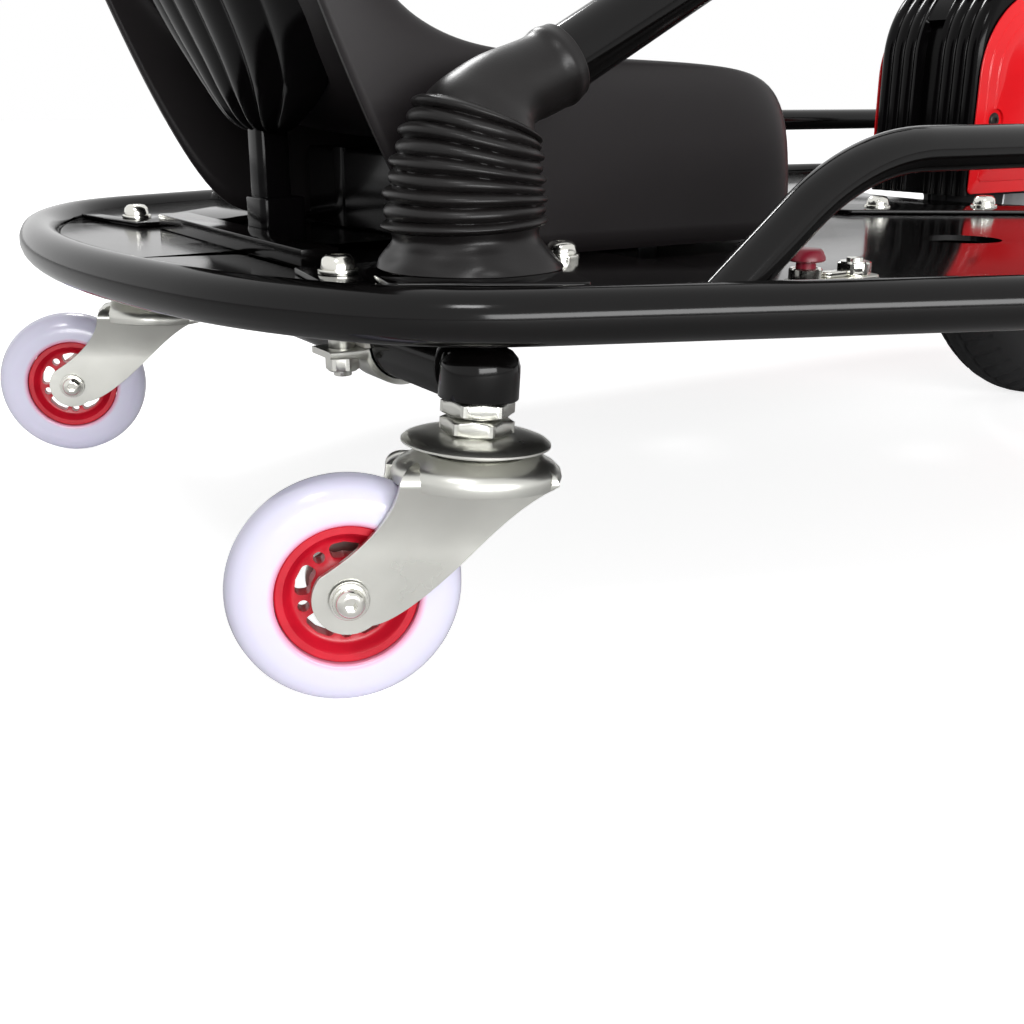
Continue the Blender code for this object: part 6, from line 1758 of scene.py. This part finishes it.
@dataclass
class Steering:
    """The neck tubes with the head, the leaning column in its bracket, and the steering wheel."""

    along: float = DRIVE_X
    neck_x: float = 940.2
    neck_y: float = 38.0
    neck_z: float = 352.0
    neck_radius: float = 12.7
    neck_end: float = 62.0
    lean: float = 48.0
    length: float = 166.0
    wheel: float = 110.0
    body: str = "steering_column"

    def __post_init__(self) -> None:
        """Work out the column's rotation and the joint's centre."""
        self.turn = rotation("y", -self.lean)
        self.origin = np.array((self.along, 0.0, JOINT_Z))

    def place(self, points: np.ndarray) -> np.ndarray:
        """Points in the column's own frame, carried to the kart's."""
        return turned(points, self.turn, self.origin)

    def build(self) -> None:
        """Make the steering's pieces."""
        self.neck()
        self.bushes()
        self.bracket()
        self.column()
        self.spokes()
        self.rim()
        self.pad()

    def neck(self) -> None:
        """Two bent tubes from the nose to the head, a web between them, and the head's sleeve."""
        tubes, x, z, end = Draft(), self.along, self.neck_z, self.along - self.neck_end
        cap = ((0.0, 0.0), (9.0, 0.0), (11.6, -0.4), (12.2, -1.2), (12.2, -2.2), (0.0, -2.2))
        turn = round_turn(96)
        bead_z = 174.6 - 0.5 * np.sin(turn) ** 4 - 1.2 * np.cos(turn) ** 2
        for side in Side:
            y = side.value * self.neck_y
            path = rounded(((self.neck_x, y, 171.0), (self.neck_x, y, z), (end, y, z)), (0.0, 60.0, 0.0), 24)
            tubes.grid(sweep(path, self.neck_radius, LEFT, 44))
            bead = np.stack([self.neck_x + 12.9 * np.cos(turn), y + 12.9 * np.sin(turn), bead_z], axis=1)
            tubes.grid(sweep(bead, 1.8 + 0.4 * np.sin(turn * 20), UP, 10, True), loop=True)
            tubes.grid(revolve(cap, (end, y, z), -AHEAD))
        sleeve = ((15.3, -15.2), (15.9, -16.0), (21.2, -16.0), (22.0, -15.2), (22.0, 17.2), (21.2, 18.0),
                  (15.9, 18.0), (15.3, 17.2))
        tubes.grid(revolve(sleeve, (x, 0.0, z), UP, 72), loop=True)
        tubes.piece("steering_neck_bent", GLOSS_BLACK, "chassis", ("steering_neck",))
        web = Draft().box((x - 50, -self.neck_y, z - 3), (x + 50, self.neck_y, z + 3))
        room = plug(16.0, z - 10.0, z + 10.0, (x, 0.0, 0.0), UP, 96)
        web.piece("neck_web_plate", GLOSS_BLACK, "chassis", holes=[room])

    def bushes(self) -> None:
        """The flanged bushes in both ends of the head."""
        profile = ((12.8, 1.4), (13.2, 1.8), (18.5, 1.8), (19.0, 1.4), (19.0, 0.6), (18.6, 0.3), (15.0, 0.3),
                   (15.0, -11.0), (14.6, -11.4), (12.8, -11.4))
        for word, base, outward in (("upper", self.neck_z + 18.0, UP), ("lower", self.neck_z - 16.0, -UP)):
            bush = Draft().grid(revolve(profile, (self.along, 0.0, base), outward, 64), loop=True)
            name = f"head_bush_{word}"
            bush.piece(name + "_turned", NYLON, "chassis", (name,))

    def bracket(self) -> None:
        """The column's sleeve, carried by two webs on a foot across the neck tubes."""
        foot, along = self.neck_z + self.neck_radius + GAP, self.along
        top = foot + 4.0
        draft = Draft().box((along - 66, -48, foot), (along - 26, 48, top), 0.8, 4.0)
        x, _, z = self.place(UP * 82.0)
        corners = ((along - 65, foot + 2), (along - 28, foot + 2), (x + 14, z + 6), (x - 10, z + 14),
                   (x - 24, z - 8))
        web = upright(slab(rounded(corners, 2.5, 5, True), 12.0, 17.0, 0.8))
        for side in Side:
            draft.grid(side.carry(web))
            draft.bolt((along - 46.0, side.value * self.neck_y, top), 7.0, 5.6)
        low, high = 53.0, 111.0
        sleeve = ((11.3, low), (12.2, low - 1), (18.0, low - 1), (19.0, low), (19.0, high), (18.0, high + 1),
                  (12.2, high + 1), (11.3, high))
        draft.grid(self.place(revolve(sleeve, sides=72)), loop=True)
        draft.piece("column_bracket_welded", GLOSS_BLACK, "chassis", ("column_bracket",))

    def column(self) -> None:
        """The turning shaft with its upper yoke and the yoke's short pins."""
        end = self.length
        profile = ((0.0, 16.8), (13.6, 17.0), (14.0, 17.4), (14.0, 19.6), (13.6, 20.0), (11.0, 20.2),
                   (11.0, end - 1.2), (9.8, end), (0.0, end))
        draft = Draft().grid(self.place(revolve(profile, sides=56)))
        draft.yoke(self.turn, self.origin, AHEAD, UP)
        pin = ((0.0, 8.6), (2.6, 8.6), (3.0, 9.0), (3.0, 14.4), (2.4, 15.0), (0.0, 15.0))
        for outward in (AHEAD, -AHEAD):
            draft.grid(self.place(revolve(pin, axis=outward, sides=32)))
        draft.piece("steering_shaft_turned", STEEL, self.body, ("steering_shaft",))

    def spokes(self) -> None:
        """The hub plate and three flat spokes, waisted, each with a long slot.

        A spoke lies along a line from the hub up to the rim; its half width grows from its middle
        to both ends with the square of the distance.
        """
        top = self.length
        hub = ((0.0, 0.3), (23.2, 0.3), (24.0, 1.1), (24.0, 7.0), (23.0, 8.0), (0.0, 8.0))
        draft = Draft().grid(self.place(revolve(hub, (0.0, 0.0, top), sides=72)))
        draft.piece("steering_hub", GLOSS_BLACK, self.body)
        for number, turn in enumerate(round_turn(3), 1):
            out = np.array((-math.cos(turn), math.sin(turn), 0.0))
            start, end = out * 14.0 + UP * (top + 5.0), out * 100.6 + UP * (top + 27.6)
            run = float(np.linalg.norm(end - start))
            along, across = (end - start) / run, np.cross(UP, out)
            normal = np.cross(along, across)
            share = np.linspace(0.0, 1.0, 40)
            outline = both_halves(np.column_stack([share * run, 9.0 + 2.0 * (2 * share - 1) ** 2]), False)
            slot = rectangle((26.0, -3.4), (run - 18.0, 3.4), 3.3)
            shapes = []
            for shape, thick, soft in ((outline, 2.0, 0.7), (slot, 8.0, 0.05)):
                plate = slab(shape, -thick, thick, soft)
                local = start + plate[..., :1] * along + plate[..., 1:2] * across + plate[..., 2:] * normal
                shapes.append(Draft().grid(self.place(local)))
            replaces = ("steering_spokes",) if number == 1 else ()
            shapes[0].piece(f"steering_spoke_{number}", GLOSS_BLACK, self.body, replaces, holes=shapes[1:])

    def rim(self) -> None:
        """The foam rim: a ring whose tube swells a little at both hands and waves for the fingers."""
        turn = round_turn(300)
        path = self.wheel * np.stack([np.cos(turn), np.sin(turn), np.zeros(300)], axis=1)
        radius = 10.4 + np.abs(np.sin(turn)) ** 8 * (0.35 + 0.25 * np.cos(turn * 48))
        rings = self.place(sweep(path + UP * (self.length + 30.0), radius, UP, 36, True))
        Draft().grid(rings, loop=True).piece("steering_rim_foam", GRIP_RUBBER, self.body, ("steering_rim",))

    def pad(self) -> None:
        """The centre pad: a flat round face with a soft edge and a shallow ring groove."""
        profile = ((0.0, 0.0), (16.0, 0.0), (16.6, -0.7), (17.4, -0.7), (18.0, 0.0), (20.6, 0.0),
                   (21.8, -0.6), (22.4, -2.0), (26.6, -16.0), (26.9, -17.2), (26.2, -17.7), (0.0, -17.7))
        pad = Draft().grid(self.place(revolve(profile, UP * (self.length + 26.0), sides=96)))
        pad.piece("steering_pad_moulded", BLACK_PLASTIC, self.body, ("steering_pad",), angle=30.0)


@dataclass
class Controls:
    """The accelerator pedal, the switch box and the reset button."""

    pedal: tuple = (760.0, -236.0, 179.0)
    pedal_lean: float = 24.0
    pedal_half: float = 24.0
    box_x: float = 276.0
    face: float = 146.0
    rocker_x: float = 21.0
    inlet_x: float = 60.0
    inlet_z: float = 190.0
    button: tuple = (136.0, -270.0)
    bracket_nut: tuple = (165.0, -270.0)

    def build(self) -> None:
        """Make the controls' pieces."""
        self.pedal_bracket()
        self.pedal_plate()
        self.switch_box()
        self.rocker()
        self.cap()
        self.reset()

    def pedal_bracket(self) -> None:
        """A foot plate with two ears, the hinge pin, and the bolts that hold it down."""
        x, y, z = self.pedal
        top = DECK_TOP + 3.0
        draft = Draft().box((x - 22, y - 30, DECK_TOP), (x + 30, y + 30, top), 0.5, 5.0)
        ear = rectangle((x - 8, top - 1.0), (x + 8, z + 8.0), (0.5, 0.5, 7.8, 7.8), 10)
        bolts = Draft()
        for side in Side:
            low, high = sorted((y + side.value * 26.0, y + side.value * 29.0))
            draft.grid(upright(slab(ear, low, high, 0.4)))
            bolts.bolt((x + 20.0, y + side.value * 18.0, top), 5.2, 4.0)
        draft.rod((x, y - 31.0, z), (x, y + 31.0, z), 3.0)
        draft.piece("pedal_bracket_pressed", GLOSS_BLACK, "chassis", ("pedal_bracket",))
        bolts.piece("pedal_bolts", BRIGHT_ZINC, "chassis")

    def pedal_plate(self) -> None:
        """The pedal: a rounded plate with ridges across it, on a barrel round the pin."""
        turn, half = rotation("y", self.pedal_lean), self.pedal_half
        outline = rectangle((-half, -6.0), (half, 118.0), (2.0, 2.0, 12.0, 12.0), 10)
        draft = Draft().grid(facing(slab(outline, -3.0, 5.0, 1.6, 4)))
        for low in 24.0 + 18.0 * np.arange(5):
            ridge = rectangle((4 - half, low), (half - 4, low + 5.0), 2.2)
            draft.grid(facing(slab(ridge, -5.0, -2.0, 0.8)))
        barrel = both_halves(((3.3, 0.4 - half), (3.7, -half), (7.0, -half), (7.5, 0.5 - half)), False)
        draft.grid(revolve(barrel, axis=LEFT), loop=True)
        draft.carried(lambda points: turned(points, turn, self.pedal))
        draft.piece("pedal_moulded", BLACK_PLASTIC, "accelerator", ("accelerator_pedal",))

    def switch_box(self) -> None:
        """The box with the rocker's well, the charge inlet's collar, its pins and its cap's perch."""
        x, face, centre, high = self.box_x, self.face, self.box_x + self.inlet_x, self.inlet_z
        case = Draft().box((x, 118, DECK_TOP), (x + 80, face, 217.0), 2.5, 3.0)
        middle = x + self.rocker_x
        well = Draft().box((middle - 11, face - 8, 184), (middle + 11, face + 4, 206), 0.05, 0.2)
        room = plug(7.0, 0.0, 22.0, (centre, face - 14.0, high), LEFT)
        case.piece("switch_case", BLACK_PLASTIC, "chassis", ("switch_box",), holes=[well, room], angle=50.0)
        collar = ((7.0, -0.5), (10.0, -0.5), (10.0, 4.2), (9.2, 5.0), (7.6, 5.0), (7.0, 4.4))
        trim = Draft().grid(revolve(collar, (centre, face, high), LEFT), loop=True)
        trim.box((centre - 6, face - 1, 204.5), (centre + 6, face + 4.0, 208.5), 0.6, 1.0)
        trim.piece("inlet_collar", BLACK_PLASTIC, "chassis")
        pins, ring = Draft(), 3.4
        for turn in np.radians((90.0, 210.0, 330.0)):
            foot = np.array((centre + ring * math.cos(turn), face - 14.2, high + ring * math.sin(turn)))
            pins.rod(foot, foot + LEFT * 10.0, 1.1, 0.4, 16)
        pins.piece("inlet_pins", BRIGHT_ZINC, "chassis")

    def rocker(self) -> None:
        """The red rocker: a part of a round bar that shows out of its well."""
        turn = np.radians(np.linspace(-102.0, 102.0, 48))
        outline = 8.5 * np.stack([np.cos(turn), np.sin(turn)], axis=1)
        bar = facing(slab(outline, -10.0, 10.0, 0.8)) + (self.box_x + self.rocker_x, self.face - 2.0, 195.0)
        Draft().grid(bar).piece("rocker_moulded", RED_CORE, "power_rocker", ("rocker_switch",))

    def cap(self) -> None:
        """The inlet's rubber cap with its hinge tab."""
        centre = np.array((self.box_x + self.inlet_x, self.face + 6.5, self.inlet_z))
        disc = ((0.0, 1.6), (9.6, 1.6), (10.6, 1.1), (11.0, 0.2), (11.0, -0.8), (10.6, -1.2), (0.0, -1.2))
        draft = Draft().grid(revolve(disc, centre, LEFT, 64))
        tab = rectangle((-4.0, 7.5), (4.0, 15.0), 1.2, 4)
        draft.grid(upright(slab(tab, -1.0, 1.5, 0.5)) + centre)
        draft.piece("charge_cap_moulded", GRIP_RUBBER, "inlet_cap", ("charge_cap",))

    def reset(self) -> None:
        """The zinc bracket with its collar and nut, and the dark red button that stands in it."""
        z, top = DECK_TOP, DECK_TOP + 2.0
        plate = Draft().grid(slab(rectangle((128, -277), (176, -263), 5.0, 8), z, top, 0.4))
        plate.piece("reset_bracket_pressed", ZINC, "chassis", ("reset_bracket",))
        collar = ((4.6, 1.5), (7.0, 1.5), (7.0, 6.4), (6.4, 7.0), (5.2, 7.0), (4.6, 6.4))
        draft = Draft().grid(revolve(collar, (*self.button, z), UP, 56), loop=True)
        draft.nut((*self.bracket_nut, top), 6.0, 7.5)
        draft.rod((*self.bracket_nut, z + 1.0), (*self.bracket_nut, z + 9.6), 3.6)
        link = rectangle((146.0, -273.0), (160.0, -267.0), 2.8)
        draft.grid(slab(link, top, z + 4.6, 0.6))
        draft.piece("reset_collar", BRIGHT_ZINC, "chassis")
        head = ((0.0, 4.6), (4.2, 4.6), (4.2, 9.8), (7.4, 9.8), (8.0, 10.4), (7.9, 11.6), (6.6, 14.2),
                (5.6, 14.9), (0.0, 15.0))
        button = Draft().grid(revolve(head, (*self.button, z), UP, 56))
        button.piece("reset_button_moulded", DARK_RED, "breaker_button", ("reset_button",))


@dataclass
class Studio:
    """A pale floor in a white surround, three soft lamps, and the photograph's camera."""

    camera_place: tuple = (-247.6, -653.8, 240.0)
    bearing: float = 31.8
    pitch: float = 18.45
    focal_share: float = 1240.0 / 1024.0
    surround: float = 0.4
    floor_glow: float = 0.74

    def build(self) -> None:
        """Make the floor, the world, the lamps and the camera."""
        self.floor()
        self.world()
        self.lamps()
        self.camera()

    def floor(self) -> None:
        """A wide pale plane that the camera sees as white, with the kart's shadow on it."""
        mesh = bpy.data.meshes.new("studio_floor")
        reach = 14.0
        corners = [(-reach, -reach, 0), (reach, -reach, 0), (reach, reach, 0), (-reach, reach, 0)]
        mesh.from_pydata(corners, [], [(0, 1, 2, 3)])
        floor = linked("studio_floor", mesh)
        recipe = Recipe("studio_floor")
        drift = recipe.noise(0.6, 2.0)
        seen = Value(recipe, recipe.node("ShaderNodeLightPath").outputs["Is Camera Ray"])
        black, glow = (0.0, 0.0, 0.0, 1.0), (self.floor_glow,) * 3 + (1.0,)
        recipe.set(
            base_color=recipe.mix(drift, (0.84, 0.84, 0.84, 1.0), (0.86, 0.86, 0.86, 1.0)),
            roughness=0.7,
            emission_color=recipe.mix(seen, black, glow),
            emission_strength=1.0,
        )
        mesh.materials.append(recipe.material)

    def world(self) -> None:
        """A white surround: full white to the camera and to glossy and clear rays, softer as light."""
        world = bpy.data.worlds.new("studio_world")
        world.use_nodes = True
        bpy.context.scene.world = world
        tree = world.node_tree
        background = tree.nodes["Background"]
        background.inputs["Color"].default_value = (1.0, 1.0, 1.0, 1.0)
        path = tree.nodes.new("ShaderNodeLightPath")
        seen = path.outputs["Is Camera Ray"]
        for other in ("Is Glossy Ray", "Is Transmission Ray"):
            either = tree.nodes.new("ShaderNodeMath")
            either.operation = "MAXIMUM"
            tree.links.new(seen, either.inputs[0])
            tree.links.new(path.outputs[other], either.inputs[1])
            seen = either.outputs[0]
        level = tree.nodes.new("ShaderNodeMapRange")
        level.inputs["To Min"].default_value = self.surround
        level.inputs["To Max"].default_value = 1.0
        tree.links.new(seen, level.inputs["Value"])
        tree.links.new(level.outputs[0], background.inputs["Strength"])

    def lamps(self) -> None:
        """Soft lamps: a key above and behind the camera, one beyond the kart, a low wide one in front."""
        for name, place, aim, width, tall, power in (
            ("key_lamp", (-1.5, -1.5, 2.2), (-0.2, 0.0, 0.2), 0.45, 0.45, 12.0),
            ("back_lamp", (0.2, 2.2, 2.0), (0.0, 0.0, 0.2), 0.5, 0.5, 22.0),
            ("streak_lamp", (-0.7, -3.0, 0.78), (-0.3, -0.2, 0.3), 2.6, 0.8, 72.0),
        ):
            lamp = bpy.data.lights.new(name, "AREA")
            lamp.shape = "RECTANGLE"
            lamp.energy, lamp.size, lamp.size_y = power, width, tall
            aim_at(linked(name, lamp), place, aim)

    def camera(self) -> None:
        """The camera at the photograph's place, looking along its bearing and pitch."""
        data = bpy.data.cameras.new("photo_camera")
        data.sensor_width = 36.0
        data.lens = self.focal_share * data.sensor_width
        data.clip_start, data.clip_end = 0.01, 100.0
        made = linked("photo_camera", data)
        bearing, pitch = math.radians(self.bearing), math.radians(self.pitch)
        level = math.cos(pitch)
        look = np.array((math.sin(bearing) * level, math.cos(bearing) * level, -math.sin(pitch)))
        place = in_frame(self.camera_place)
        aim_at(made, place, place + look)
        bpy.context.scene.camera = made


def aim_at(made: bpy.types.Object, place: Sequence, target: Sequence) -> None:
    """Put a lamp or camera in place, its own -Z towards a target and its Y up.

    Args:
        made: the lamp or camera.
        place: where it stands, in metres.
        target: what it points at, in metres.
    """
    place, target = np.asarray(place, float), np.asarray(target, float)
    back = unit(place - target)
    side = unit(np.cross(UP, back))
    matrix = np.eye(4)
    matrix[:3, 0], matrix[:3, 1], matrix[:3, 2], matrix[:3, 3] = side, np.cross(back, side), back, place
    made.matrix_world = Matrix(matrix.tolist())


def dress_frame(frame: dict) -> None:
    """Give every node of the frame the finish of its slot.

    Args:
        frame: the loaded frame, with its record and its nodes.
    """
    for part in frame["record"]["subparts"]:
        node = frame["nodes"][part["node"]]
        node.data.materials.clear()
        node.data.materials.append(SLOT_FINISH[part["material_slot"]].material())


def main() -> None:
    """Build the studio and every sub-assembly round the frame."""
    logging.basicConfig(level=logging.INFO, format="%(name)s: %(message)s")
    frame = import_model()
    bpy.context.scene.view_settings.view_transform = "Standard"
    dress_frame(frame)
    Studio().build()
    perimeter = Perimeter()
    perimeter.build()
    Deck(perimeter).build()
    Seat().build()
    DriftLever().build()
    for side in Side:
        Caster(side).build()
    DriveUnit().build()
    Steering().build()
    Controls().build()
    bpy.context.view_layer.update()


if __name__ == "__main__":
    main()
